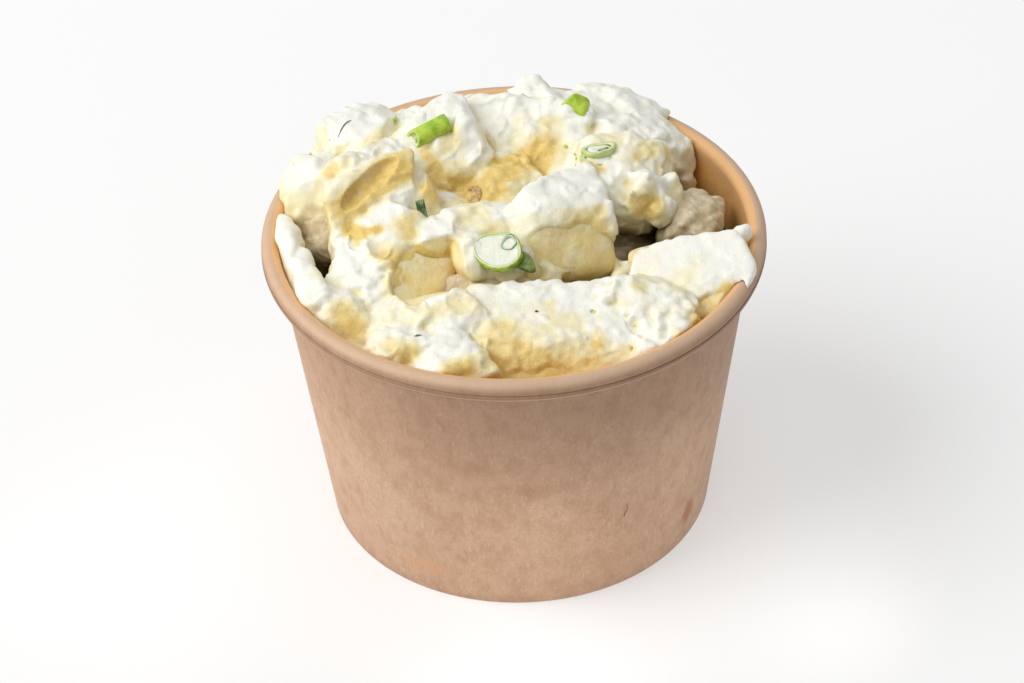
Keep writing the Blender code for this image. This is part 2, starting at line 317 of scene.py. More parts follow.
def kraftMaterial(name):
    # brown board: pressed pulp cloud, short fibres both pale and dark, and long faint vertical rub marks
    base, dark, pale, roughness, specular, coat = kraft[name]
    made, tree = newMaterial(name, roughness, specular, coat=coat)
    height = placeAlong(tree, "Z")
    cloud = noiseNode(tree, 330, 4, 0.62, stretch=(1, 1, 0.7))
    blotch = noiseNode(tree, 60, 3, 0.55)
    grain = noiseNode(tree, 1500, 4, 0.7)
    fibre = noiseNode(tree, 1700, 3, 0.6, stretch=(1, 1, 0.22))
    fleck = noiseNode(tree, 900, 1, 0.4, stretch=(1, 1, 0.35), distortion=1.2)
    colour = painted(tree, base, (cloud, 0.30, 0.60, 0.55, 0.0, dark), (blotch, 0.48, 0.72, 0, 0.22, pale),
                     (fibre, 0.56, 0.70, 0, 0.34, pale), (fleck, 0.62, 0.74, 0, 0.40, dark),
                     (grain, 0.40, 0.66, 0, 0.34, dark))
    if name == "kraftInside":
        # paler and duller where the board bends into the roll
        colour = painted(tree, colour, (height, 0.0570, 0.0600, 0, 1, (230, 180, 124)))
    else:
        for mark in kraftMarks.values():
            colour = markNode(tree, colour, *mark)
        # painted shade darker towards the top, under the roll; a painted highlight pales the top of the roll;
        # painted shade in the groove under it, and a painted highlight as a thin pale line along its lower
        # edge
        colour = painted(tree, colour, (height, 0.0240, 0.0560, 0, 0.30, (142, 104, 76)),
                         (height, 0.0612, 0.0626, 0, 0.55, (232, 200, 168)))
        paintedGrooveShade = bandNode(tree, height, (0.0560, 0.0588), (0.0612, 0.0600), 0.45)
        # painted highlight: a thin pale line along the roll's lower edge
        edge = bandNode(tree, height, (0.0587, 0.0591), (0.0598, 0.0594), 0.6)
        colour = blendColour(tree, paintedGrooveShade, colour, (136, 100, 74))
        colour = blendColour(tree, edge, colour, (226, 198, 168))
    dressed(tree, colour, (cloud, 0.25, 0.0006), (total(tree, (fibre, 1.0), (grain, 0.7)), 0.30, 0.00012))
    return made


def markNode(tree, colour, place, half, paint, strength):
    # an oval stain: the strength falls off with |(p - place) / half|, torn a little by noise
    mapping = tree.nodes.new("ShaderNodeMapping")
    mapping.vector_type = "TEXTURE"
    mapping.inputs["Location"].default_value = tuple(c * mm for c in place)
    mapping.inputs["Scale"].default_value = tuple(c * mm for c in half)
    tree.links.new(tree.nodes["coords"].outputs["Object"], mapping.inputs["Vector"])
    reach = tree.nodes.new("ShaderNodeVectorMath")
    reach.operation = "LENGTH"
    tree.links.new(mapping.outputs["Vector"], reach.inputs[0])
    distance = calculate(tree, "ADD", reach.outputs["Value"], noiseNode(tree, 300, 4, 0.6))
    return painted(tree, colour, (distance, 0.9, 1.7, strength, 0.0, paint))


def makeTub():
    # outer wall and roll, then the inner wall: two skins of the one board, each closed into a shell
    height, board, wallTop, foot = tub["height"], tub["board"], tub["wallTop"], tub["footRadius"]
    beadHalf = tub["rollWidth"] / 2
    lipHalf = tub["lipHalf"] * tub["rollHeight"]
    bead = arcPoints((tub["rimRadius"] - beadHalf, height - beadHalf), beadHalf, *tub["beadArc"])
    lipMiddle = tub["rimRadius"] - tub["lipInset"] * tub["rollWidth"] + 0.1
    lip = arcPoints((lipMiddle, wallTop + lipHalf), lipHalf, *tub["lipArc"])
    wallHeights = np.linspace(wallTop - 0.15, 0.5, tub["wallRows"])
    outerWall = np.stack([foot + tub["slope"] * wallHeights, wallHeights], 1)
    toe = arcPoints((foot - tub["toe"], tub["toe"]), tub["toe"], *tub["toeArc"])
    fold = foot - 3 * board
    under = np.array([[fold + 0.2, 0.0], [fold, 0.2], [fold, tub["foldHeight"] - board]])
    innerHeights = np.linspace(tub["foldHeight"], height - beadHalf - 0.3, tub["innerRows"])
    innerWall = np.stack([wallInner(innerHeights), innerHeights], 1)
    profile = np.concatenate([bead, lip, outerWall, toe, under, innerWall])
    points = carriedRound(profile, tub["around"], tub["wobble"])
    faces = gridFaces(len(profile) + 1, tub["around"])[:, [0, 3, 2, 1]] % len(points)
    outside = kraftMaterial("kraftOutside")
    piece = putInScene("kraftTub", points, faces, outside, "kraft_board", ("tub_wall",))
    piece.data.materials.append(kraftMaterial("kraftInside"))
    row = faces[:, 0] // tub["around"]
    isInside = (row >= len(profile) - len(innerWall) - 1) | (row < tub["insideFrom"])
    piece.data.polygons.foreach_set("material_index", isInside.astype(np.int32))
    print("tub made,", len(faces) * 2, "triangles")

    # the floor disc with its turned-down edge, lifted off the ground
    radius, bend, middle = fold - tub["baseGap"], tub["baseBend"], tub["baseMiddle"]
    top = tub["foldHeight"] - board
    edge = np.array([[middle, top], [radius - bend, top], [radius - 0.17, top - 0.17], [radius, top - bend],
                     [radius, 1.0], [radius - board, 1.0], [radius - board, top - bend],
                     [radius - board - bend / 2, top - board], [middle, top - board]])
    points = carriedRound(edge, tub["baseAround"])
    disc = closedTube(points, tub["baseAround"], (0, 0, top), (0, 0, top - board))
    putInScene("tubBase", *disc, outside, "base_board", ("tub_base",))
    print("base made")


# the salad: each piece is centre, half sizes, turn in degrees, sharpness of its edges, number of corners
# cut off; knife cuts, where a piece has them, are planes: outward direction and distance from the centre
potato = {
    "frontBlock": ((4, -30.5, 54.0), (15.8, 11.4, 9.4), (8, 0, 3), 12.0, 1),
    "frontLeftBlock": ((-17, -29, 55.2), (11.8, 8.8, 8.0), (10, -6, 12), 12.0, 2),
    "leftBlock": ((-24, -12, 57.8), (11.6, 9.6, 9.2), (16, 6, -18), 14.0, 0),
    "leftSlice": ((-25.0, 2.0, 65.4), (10.0, 7.6, 3.8), (46, -4, 22), 9.0, 2),
    "leftWedge": ((-17, 0, 58.5), (7.6, 6.6, 6.2), (0, 12, 20), 6.0, 3),
    "centreBlock": ((7.6, -2, 62.0), (9.2, 10.8, 8.4), (14, 4, 22), 16.0, 0),
    "backBlock": ((3, 24.5, 62.0), (12.4, 8.6, 7.6), (32, 0, -6), 8.0, 2),
    "backLeftBlock": ((-16, 19, 62.0), (9.2, 8.2, 7.4), (20, -4, 24), 6.0, 4),
    "rightSlab": ((35.0, -16.0, 59.4), (10.6, 9.0, 4.0), (14, -15, 10), 14.0, 1),
    "frontRightBlock": ((24.5, -27, 55.0), (10.8, 9.4, 7.6), (10, 4, -22), 6.0, 4),
    "rightBackBlock": ((21.6, 12.4, 61.8), (8.2, 9.8, 9.0), (12, 0, -14), 5.0, 5),
}
knifeCuts = {
    "centreBlock": [(0.30, -0.75, 0.60, 7.4), (-0.45, -0.45, 0.77, 9.6), (-0.60, 0.76, 0.25, 7.2)],
    "leftBlock": [(0.31, -0.42, 0.85, 7.8), (-0.26, -0.31, 0.91, 8.0)],
    "frontLeftBlock": [(0.20, -0.72, 0.66, 7.0), (-0.20, -0.25, 0.95, 6.9)],
    "frontBlock": [(0.03, -0.74, 0.67, 8.4), (0.03, -0.16, 0.98, 8.2), (-0.75, -0.3, 0.59, 13.0)],
    "backBlock": [(-0.14, -0.45, 0.88, 6.2)],
}
dressing = {
    "leftTongueTip": ((-43.8, -3, 61.2), (1.8, 8.2, 4.0), (0, 0, 2), 3.0, 2),
    "leftTongue": ((-41.2, -12.5, 60.0), (2.7, 9.5, 4.6), (0, 0, 16), 3.0, 2),
    "leftTongueFoot": ((-34.6, -22.8, 58.0), (3.6, 9.6, 4.6), (0, 0, 38), 3.0, 2),
    "leftBank": ((-36.0, 13.0, 62.6), (7.6, 9.6, 7.2), (10, 8, 16), 4.0, 4),
    "leftShelf": ((-27.2, 13.4, 66.0), (10.6, 4.6, 4.8), (0, 4, 49), 5.0, 4),
    "leftBackBank": ((-29, 26.5, 62.8), (10.6, 7.6, 7.6), (0, 4, 44), 5.0, 5),
    "leftBankFill": ((-20.5, 29.0, 61.5), (7.6, 6.4, 6.6), (0, 0, 20), 4.0, 4),
    "backRidgeLeft": ((-11.5, 29.0, 59.8), (9.4, 6.2, 7.0), (0, 0, 8), 4.0, 4),
    "backRidge": ((4, 32.5, 62.5), (9.8, 7.8, 7.4), (0, 0, -4), 4.0, 4),
    "backPeak": ((5, 38, 66.5), (2.8, 2.8, 3.8), (0, 0, 0), 3.0, 3),
    "backRidgeRight": ((17.5, 32.5, 60.7), (11.2, 8.8, 7.4), (0, 0, -22), 4.0, 4),
    "rightBackBank": ((24.6, 26.5, 59.8), (8.0, 8.8, 7.4), (0, 4, -36), 4.0, 4),
    "centreFold": ((-7, -3, 60), (11.6, 7.2, 6.2), (8, 0, 6), 4.0, 4),
    "hollowFloor": ((-3, 11, 58), (12, 9, 6), (10, 0, 0), 3.0, 2),
    "hangingLobe": ((-8.5, 19, 67.3), (2.6, 8.4, 3.4), (34, 0, 0), 3.0, 2),
    "smallLump": ((-12, 7, 63.5), (4.0, 3.4, 2.8), (0, 0, 14), 3.0, 3),
    "ringRest": ((-5.4, -10.6, 60.6), (9.0, 5.6, 5.4), (10, 6, -4), 4.0, 4),
    "rightDrip": ((26.2, 4.2, 63.6), (3.0, 3.2, 5.8), (8, 0, 0), 3.0, 2),
    "rightCliff": ((27.0, 14, 61.0), (3.2, 7.8, 8.2), (0, -8, -10), 3.0, 3),
    "frontFold": ((-24, -34, 56.5), (8.6, 5.2, 5.2), (0, 0, 32), 3.6, 3),
    "frontLip": ((-11, -38.5, 57), (8.6, 4.2, 4.6), (0, 0, 8), 3.2, 3),
    "frontRightFold": ((20, -20.5, 59), (10.6, 4.8, 4.8), (0, 4, -8), 3.6, 3),
    "frontRightLip": ((28, -32, 56), (7.6, 5.2, 5.2), (0, 0, -40), 3.6, 3),
}
# little tips, drips and scraps of dressing that stand on the lumps
wisps = {
    "tipLeft": ((-13.1, 29.5, 65.8), (1.6, 1.4, 2.4), (0, 0, 0), 2.2, 2),
    "tipMiddle": ((-8.6, 29.3, 66.2), (1.2, 1.2, 2.3), (0, 8, 0), 2.2, 2),
    "tipRight": ((-1.0, 30.8, 69.0), (1.8, 1.2, 2.5), (0, -10, 0), 2.2, 2),
    "tipFar": ((5.4, 37.6, 69.0), (1.9, 1.2, 2.8), (8, 6, 0), 2.4, 3),
    "slabTipLow": ((41.8, -7.9, 63.6), (1.2, 0.9, 1.5), (0, 10, 0), 2.2, 2),
    "slabTipHigh": ((43.7, -6.1, 63.8), (0.9, 0.8, 1.4), (0, 14, 0), 2.2, 2),
    "dripOne": ((24.0, 2.8, 63.6), (1.5, 1.5, 3.4), (6, 4, 0), 2.4, 2),
    "dripTwo": ((28.4, 2.6, 63.4), (1.7, 1.6, 3.6), (4, -5, 0), 2.4, 2),
    "dripThree": ((30.4, 7.4, 62.0), (1.4, 1.6, 4.6), (0, 0, 0), 2.4, 2),
    "scrapOne": ((-35.6, -22.3, 55.8), (2.4, 1.5, 1.5), (0, 8, -30), 3.0, 4),
    "scrapTwo": ((-32.8, -26.2, 55.6), (1.8, 1.3, 1.4), (0, 0, 20), 3.0, 4),
    "scrapThree": ((-30.0, -28.7, 55.4), (2.2, 1.3, 1.5), (0, 0, -40), 3.0, 4),
    "blobLow": ((-13.1, -33.6, 60.3), (3.6, 2.6, 2.2), (0, 0, -14), 2.4, 2),
    "lumpBesideSlab": ((21.2, -8.8, 57.4), (3.2, 2.6, 2.6), (0, 0, 0), 3.0, 3),
}
tanPieces = {
    "rightTan": ((34.4, 5.0, 57.2), (5.0, 7.0, 7.2), (0, 6, -12), 5.0, 5),
    "middleTan": ((21.5, 0.5, 52.5), (6.8, 6.8, 5.4), (0, 0, 10), 5.0, 5),
    "leftTan": ((-34.5, 3, 56.5), (6.8, 6.4, 6.8), (0, 0, 8), 5.0, 5),
    "frontTan": ((-8, -13.5, 57), (6.8, 5.8, 5.4), (0, 0, 0), 5.0, 5),
}
# scooped hollows and creases, cut out of the lumps before the sauce goes on
scoops = {
    "sliceHollow": ((-27.2, 2.5, 73.4), (7.4, 2.3, 2.1), (30, -24, 30), 2.2, 0),
    "leftCrease": ((-24.2, 21.6, 71.6), (9.5, 1.3, 2.2), (0, 16, 73), 2.0, 0),
    "sliceChannel": ((-17.6, 5.0, 72.6), (10.0, 1.9, 3.4), (0, 0, 84), 2.0, 0),
    "wallHole": ((30.6, -31.0, 60.4), (2.6, 1.5, 2.2), (0, 0, 40), 2.0, 0),
    "pinchLeft": ((14.4, -26.6, 61.8), (1.3, 1.1, 2.2), (0, 0, 0), 2.0, 0),
    "pinchRight": ((17.6, -27.6, 60.6), (0.9, 1.0, 1.8), (0, 0, 0), 2.0, 0),
    "pinchHigh": ((28.6, 12.2, 71.2), (1.5, 1.3, 1.8), (0, 0, 0), 2.0, 0),
    "pinchSide": ((31.2, 14.4, 70.4), (1.0, 1.2, 1.8), (0, 0, 0), 2.0, 0),
}
# where knife-cut potato shows through the dressing: middle and half sizes of the patch
bareFaces = {
    "leftBlock": ((-16.0, -15.0, 63.0), (7.0, 8.0, 8.0)),
    "centreBlock": ((12.0, -10.6, 63.2), (10.5, 6.2, 6.4)),
    "frontBlock": ((7.0, -42.0, 56.5), (11.0, 4.5, 4.5)),
    "rightSlab": ((37.0, -24.0, 60.0), (6.0, 3.6, 3.2)),
}

# where the white layer is torn away and yellow potato shows, deepened towards gold and brown as painted
# shade in hollows, cracks and creases: a row of places, reach, strength
goldPlaces = {
    "sliceHollow": ([(-21.8, 5.3, 73.5), (-26.2, 2.5, 71.5), (-29, 2, 70), (-32.2, 0.2, 69)], 2.6, 1.2),
    "sliceFoot": ([(-35, 0, 68), (-32, -3, 68.5)], 1.6, 0.8),
    "sliceCrack": ([(-31, -5, 67), (-28, -7, 67.5), (-25.5, -6.5, 68)], 1.1, 1.5),
    "channelTop": ([(-18, 8, 73), (-16.5, 17, 69.5), (-15, 12, 67)], 1.8, 1.1),
    "channel": ([(-16, 3.5, 70), (-17.5, 0, 68), (-19.5, -4, 69), (-21, -6, 69), (-20, -8, 67.5)], 2.0, 1.15),
    "foldSide": ([(-13.5, 11.5, 66), (-11, 13, 67)], 1.8, 0.9),
    "byStem": ([(-11, 19, 72), (-12.5, 17.5, 70)], 1.8, 0.8),
    "leftCrease": ([(-21.5, 24, 70.5), (-25, 22, 71), (-27, 17, 71)], 1.6, 0.75),
    "leftScratch": ([(-32, 9.5, 72), (-35, 8.5, 71.5)], 1.2, 0.8),
    "ridgePatch": ([(-5, 20.5, 70.5), (-1.5, 22.5, 67.5), (2, 23.5, 69)], 2.6, 0.75),
    "hollow": ([(7.5, 20.5, 67.5), (4.5, 19, 66), (2, 15.5, 66), (-1, 12.5, 66.5), (-3, 9.5, 66.5),
                (-6, 7, 65)], 4.0, 1.2),
    "curl": ([(-8, 9, 64.5), (-7.5, 6.5, 64.5)], 1.8, 1.3),
    "behindSlices": ([(17, 15, 72), (19.5, 15, 72)], 1.8, 0.7),
    "underSlices": ([(14, 9.5, 70.5), (17, 7.5, 71)], 1.3, 1.1),
    "backHoles": ([(24, 11, 71), (27, 14, 69.5), (30.5, 16.5, 68)], 1.3, 0.85),
    "drips": ([(21, -1, 67.5), (24, -1, 66.5), (27, 1, 66.5)], 2.0, 1.0),
    "rightFlank": ([(32, 8, 68), (31.5, 6, 66)], 1.8, 0.6),
    "behindFacet": ([(16.5, -3.5, 69)], 1.4, 0.9),
    "facet": ([(16, -6, 66), (12, -7, 66.5), (16, -8, 61)], 3.2, 0.9),
    "facetFoot": ([(5, -12.5, 61.5), (9, -11.5, 60), (13, -10.5, 58.5)], 1.8, 1.2),
    "ringCrease": ([(-6, -8, 67.5), (-2, -6.5, 68)], 1.2, 0.8),
    "bridge": ([(-11, -9.5, 65), (-11.5, -10, 62)], 2.0, 0.7),
    "blockFace": ([(-22, -13, 65.5), (-19, -13, 64.5), (-20, -17, 63), (-16, -13.5, 62.5)], 3.0, 1.15),
    "blockCrevice": ([(-18, -10.5, 66), (-15, -11, 64)], 1.2, 1.5),
    "blockCreviceLow": ([(-12.5, -12.5, 62)], 2.0, 1.1),
    "leftFront": ([(-32.5, -24.5, 63), (-31, -26.5, 62)], 2.0, 0.95),
    "leftTongue": ([(-37, -16, 65.5)], 1.6, 0.6),
    "sliceBand": ([(-13.5, -26.5, 64), (-9.5, -26.5, 64)], 1.8, 0.6),
    "lowLeft": ([(-22.5, -36.5, 62.5), (-19.5, -36.5, 62.5)], 2.0, 0.9),
    "lowMiddle": ([(-13, -42, 62), (-9.5, -41.5, 62)], 1.8, 1.1),
    "blockLow": ([(-2, -36, 60.5), (3, -37, 60), (8, -37, 60.5), (13, -37, 59.5)], 4.2, 0.92),
    "blockHoles": ([(15.5, -29, 62), (14.5, -34.5, 61)], 1.3, 1.15),
    "blockStraw": ([(9.5, -29.5, 63), (13, -31, 62)], 2.4, 0.6),
    "blockCrease": ([(6.5, -25, 63.5), (6.5, -28, 62.5)], 1.1, 0.6),
    "rightLow": ([(18.5, -36, 59.5), (21, -35, 60)], 1.8, 0.9),
    "underSlab": ([(33, -29, 61), (36.5, -26, 61), (40, -21, 62)], 1.8, 1.15),
    "wallHole": ([(30, -33.5, 61.5)], 1.3, 1.6),
    "slabFoot": ([(23.5, -22.5, 65.5)], 1.6, 1.0),
    "slabStreaks": ([(24, -18, 64), (26, -13, 63.5)], 2.4, 0.8),
    "slabFace": ([(27, -17, 64.5), (32, -19, 64.5)], 5.0, 0.45),
    "middleLumps": ([(-11, 3, 67), (-8, -1, 67)], 3.0, 0.45),
}
# where it lies thick and white, and where it is curdled into small lumps
whitePlaces = {
    "lobe": ([(-8.5, 24, 70.5), (-8.5, 18, 70), (-8.5, 13, 68)], 3.2, 0.8),
    "shelf": ([(-30, 9, 71), (-24, 16, 71)], 3.0, 0.6),
    "smallLump": ([(-12, 7, 66)], 3.0, 0.6),
    "leftBank": ([(-40, 12, 68), (-36, 18, 70), (-30, 26, 70)], 4.5, 0.55),
    "tongue": ([(-42, -3, 64), (-41, -11, 64), (-37, -20, 62)], 4.0, 0.7),
    "slabTop": ([(31, -13, 65), (38, -15, 65), (41, -10, 65)], 6.0, 0.5),
    "ridge": ([(-13, 30, 70), (0, 32, 70), (12, 33, 68), (22, 31, 66), (30, 25, 66)], 6.0, 0.6),
    "blobLow": ([(-13, -33.6, 62)], 3.4, 0.8),
    "sliceEdge": ([(-17.5, 6, 70), (-17.5, 1, 68)], 1.8, 0.6),
    "leftBlockTop": ([(-30, -10, 65), (-27, -15, 64), (-24, -9, 67)], 4.6, 0.9),
    "hollowRim": ([(-3, 23, 70), (3, 25, 70), (10, 24, 69)], 3.0, 0.7),
    "centreTop": ([(3, -3, 69.5), (10, 1, 70), (15, 4, 69)], 4.0, 0.45),
}
roughPlaces = {
    "frontRight": ([(21, -29, 61), (26, -29, 61), (30, -28, 61)], 6.5, 1.0),
    "rightBack": ([(23, 4, 67), (28, 8, 67), (30, 14, 68)], 6.0, 0.8),
    "leftBlock": ([(-29, -11, 65), (-27, -16, 63)], 5.0, 0.9),
    "frontLeft": ([(-24, -29, 61), (-18, -33, 61)], 6.0, 0.6),
    "ridge": ([(-6, 27, 71), (5, 28, 70), (16, 26, 70)], 5.0, 0.5),
}
# where it is smoothed down by the spoon
smoothPlaces = {
    "slab": ([(29, -15, 64), (40, -13, 65)], 6.5, 1.0),
    "centreTop": ([(3, -6, 68), (9, -4, 70), (14, 0, 70)], 4.5, 0.8),
    "blockTop": ([(-1, -27, 63), (5, -27, 63), (11, -26, 63)], 4.5, 0.7),
    "lobe": ([(-8.5, 25, 71), (-8.5, 16, 69)], 3.6, 0.7),
    "leftBank": ([(-41, 10, 68), (-36, 18, 70)], 4.5, 0.6),
    "tongue": ([(-42, -3, 64), (-41, -11, 64), (-36, -20, 62)], 4.0, 0.6),
    "sliceFace": ([(-23, 0, 70), (-21, -4, 69)], 3.0, 0.7),
}
heap = {
    "step": 0.36,            # spacing of the field's grid
    "quickStep": 0.45,
    "floor": 49.0,           # the field starts here, a plain core fills the tub below
    "top": 77.0,
    "reach": 48.6,
    "latticeSide": 120,      # box of random numbers, wider than the grid
    "latticeGain": 2.7,
    "warp": 6.5,             # wave of the slow noise that bends the lumps
    "boxShare": 0.88,        # how far a lump reaches past its half sizes, and a margin
    "boxSpare": 3.5,
    "far": 12,               # the distance that an empty grid starts with
    "bandFade": (2.0, 0.4),  # a band of places fades between these, in times its reach
    "bareFade": (1.25, 0.75),
    "film": 0.22,            # the least dressing on any piece
    "bare": -0.35,           # how far cut faces stand proud of it
    "sauce": 0.34,           # the white layer on top, on average
    "join": 0.45,            # how softly one lump runs into the next
    "scoopJoin": 0.7,
    "wispJoin": 0.8,
    "rimJoin": 1.4,          # how round the dressing's edge is where it meets the board
    "coreTop": 56.0,         # a low dome of dressing under the lumps
    "fillHeight": 44.0,
    "domeGap": 0.4,
    "domeSlope": 0.7,
    "gap": 0.06,             # between the dressing and the board
    "coreGap": 0.35,         # between the board and the core or the potato pieces
    "rimGap": 0.15,          # between the dressing and the outer edge of the roll
    "creviceWidth": 0.8,     # the size of hollow that each colour looks for
    "valleyWidth": 3.0,
    "slopeReach": 0.8,
    "skirt": 1.1,            # how far the open edges of a mesh are drawn in, down, and together
    "skirtDrop": 0.5,
    "skirtDraw": 0.96,
    "skirtFloor": 48.6,
}
# the white layer: how far it covers, what adds to it or takes it away, and the heights of its relief
layer = {
    "cover": 0.66, "upGain": 0.55, "upLevel": 0.60, "goldLoss": 1.20, "whiteGain": 0.7,
    "from": -0.45, "to": 0.75, "goldShare": 0.90, "bareShare": 0.5, "thickness": 0.85, "least": 0.1,
    "calm": 0.75, "roughGain": 0.9, "crests": 0.6, "crestWidth": 0.40, "gritCrests": 0.30,
    "flakes": 0.34, "flakePeak": 0.86, "crumbs": 0.24, "roughCrumbs": 0.20, "crumbPeak": 0.80,
}
# how far the slow noise bends each kind of lump
bends = {"potato": 0, "dressing": 1.3, "scoops": 0.6, "wisps": 0.7}
# a broken piece: how far its faces lean and its corner cuts scatter, and how near those come
broken = {"lean": 0.10, "scatter": 0.4, "cornerReach": (0.66, 0.82)}
# how much of each wave of noise, named by its length, goes into each mix
mixes = {
    "lumps": {4.6: -0.36, 2.6: -0.34, 1.5: -0.16},
    "wisps": {1.5: -0.15},
    "torn": {2.6: 0.30, 4.6: 0.30},
    "ragged": {2.6: 0.25, 4.6: 0.25},
    "sauce": {9.0: 0.26, 4.6: 0.28, 2.6: 0.22},
    "thickness": {4.6: 0.40},
    "crests": {2.6: 1.0, 1.5: 0.3},
    "curds": {2.6: 0.16, 1.5: 0.20, 0.9: 0.16},
    "flakes": {4.6: 0.50, 9.0: 0.50, 2.6: 0.12},
    "crumbs": {2.6: 0.62, 4.6: 0.34, 1.5: 0.30},
    "grit": {2.6: 0.13, 1.5: 0.12, 0.9: 0.10},
}
core = {"around": 120, "sideRows": 20, "topRows": 26, "floorRings": (15, 30), "bend": 0.6,
        "shoulder": 49.6, "rise": 4.0, "bumps": 0.35, "bumpWave": 9, "bumpsFrom": (49, 51)}
lumpKinds = {"potato": potato, "tan": tanPieces, "dressing": dressing, "wisps": wisps, "scoops": scoops}
# the dressing is three meshes that meet in the creases between these lumps; the last takes all the others
dressingGroups = {
    "dressingFront": ["frontBlock", "frontLeftBlock", "rightSlab", "frontRightBlock", "frontFold", "frontLip",
                      "frontRightFold", "frontRightLip", "scrapOne", "scrapTwo", "scrapThree", "blobLow",
                      "slabTipLow", "slabTipHigh"],
    "dressingLeft": ["leftBankFill", "leftBlock", "leftSlice", "leftWedge", "backLeftBlock", "leftTongueTip",
                     "leftTongue", "leftTongueFoot", "leftBank", "leftShelf", "leftBackBank", "centreFold",
                     "hollowFloor", "smallLump"],
    "dressingBack": [],
}
cubeCorners = np.array([(i, j, k) for i in (0, 1) for j in (0, 1) for k in (0, 1)])


def turned(degrees):
    # rotation matrix of the three Euler angles
    return np.array(Euler([math.radians(a) for a in degrees]).to_matrix(), np.float32)


def latticeNoise(shape, step, wave, seed):
    # a coarse lattice of random numbers, drawn for the whole box whatever the step, and spread over the
    # fine grid by cubic spline weights, one matrix product along each axis; about -1 to 1
    side = int(heap["latticeSide"] / wave) + 6
    lattice = np.random.default_rng(seed).uniform(-1, 1, [side] * 3).astype(np.float32)
    for axis, n in enumerate(shape):
        place = np.arange(n) * step / wave
        cell = place.astype(int)
        t = place - cell
        weights = np.zeros((n, lattice.shape[axis]), np.float32)
        spline = (1 - t) ** 3, 3 * t ** 3 - 6 * t ** 2 + 4, 3 * (t + t * t - t ** 3) + 1, t ** 3
        for k, w in enumerate(spline):
            weights[np.arange(n), cell + k] = w / 6
        lattice = np.moveaxis(np.tensordot(weights, lattice, (1, axis)), 0, axis)
    return lattice * heap["latticeGain"]


def waveNoise(points, wave, seed, terms=14):
    # bumps on any surface: a sum of sine waves in random directions, sum(sin(k.p + phase)) / sqrt(terms)
    random = np.random.default_rng(seed)
    ways = random.normal(size=(terms, 3))
    ways *= 2 * math.pi / wave / np.linalg.norm(ways, axis=1)[:, None] * random.uniform(0.7, 1.4, (terms, 1))
    return np.sin(points @ ways.T + random.uniform(0, 2 * math.pi, terms)).sum(-1) / math.sqrt(terms)


def flatFaces(half, turn, cuts, seed, knife=()):
    # the faces of a broken piece as rows m, with m.q = 1 on the face: six that nearly box it in, each
    # leaning a little, a few more across its corners, and the knife's own
    random = np.random.default_rng(seed)
    half = np.array(half, float)
    sides = np.concatenate([np.eye(3), -np.eye(3)])
    normals = sides + random.normal(size=(6, 3)) * broken["lean"]
    reach = np.abs(sides) @ half
    corners = random.choice([-1.0, 1.0], (cuts, 3)) + random.normal(size=(cuts, 3)) * broken["scatter"]
    corners = corners / np.linalg.norm(corners, axis=1)[:, None]
    cutReach = np.abs(corners) @ half * random.uniform(*broken["cornerReach"], cuts)
    rows = np.concatenate([normals / reach[:, None], corners / cutReach[:, None]]) @ turned(turn).T
    knife = np.array(knife, float).reshape(-1, 4)
    return np.concatenate([rows, knife[:, :3] / knife[:, 3:]])


def lumpDistance(x, y, z, centre, half, turn, sharpness, cuts, seed, knife=()):
    # s = (sum max(0, m.q)^n)^(1/n) is 1 on the surface, rounder for a small n; the distance along the
    # ray is |q| (1 - 1/s)
    q = [x - centre[0], y - centre[1], z - centre[2]]
    s = 0
    for m in flatFaces(half, turn, cuts, seed, knife).astype(np.float32):
        s = s + np.maximum(m[0] * q[0] + m[1] * q[1] + m[2] * q[2], 0) ** sharpness
    s = s ** (1 / sharpness)
    reach = np.sqrt(sum(c * c for c in q))
    return reach * (1 - 1 / np.maximum(s, 0.05))


def softMin(a, b, k):
    # the smaller of two distances, rounded off where they are within k of each other
    h = np.maximum(k - np.abs(a - b), 0) / k
    return np.minimum(a, b) - h * h * k / 4


def sawWave(phase, peak):
    # rises from 0 to 1 over the first part of each wave, and drops back over the rest
    phase = phase - np.floor(phase)
    return np.minimum(phase / peak, (1 - phase) / (1 - peak))


def blur(values, radius, step):
    # two passes of a running mean along each axis
    width = max(1, int(round(radius / step)))
    for axis in range(3):
        lines = np.moveaxis(values, axis, 0)
        for _ in range(2):
            padded = np.concatenate([lines[:1].repeat(width + 1, 0), lines, lines[-1:].repeat(width, 0)])
            sums = np.cumsum(padded, 0, dtype=np.float64)
            lines = ((sums[2 * width + 1:] - sums[:-2 * width - 1]) / (2 * width + 1)).astype(np.float32)
        values = np.moveaxis(lines, 0, axis)
    return values


def sampled(values, points, low, step):
    # straight-line mix of the eight grid values round each point
    place = np.clip((points - low) / step, 0, np.array(values.shape) - 1.001)
    cell = place.astype(int)
    t = place - cell
    mix = 0
    for i, j, k in cubeCorners:
        w = np.abs(1 - i - t[:, 0]) * np.abs(1 - j - t[:, 1]) * np.abs(1 - k - t[:, 2])
        mix = mix + w * values[cell[:, 0] + i, cell[:, 1] + j, cell[:, 2] + k]
    return mix


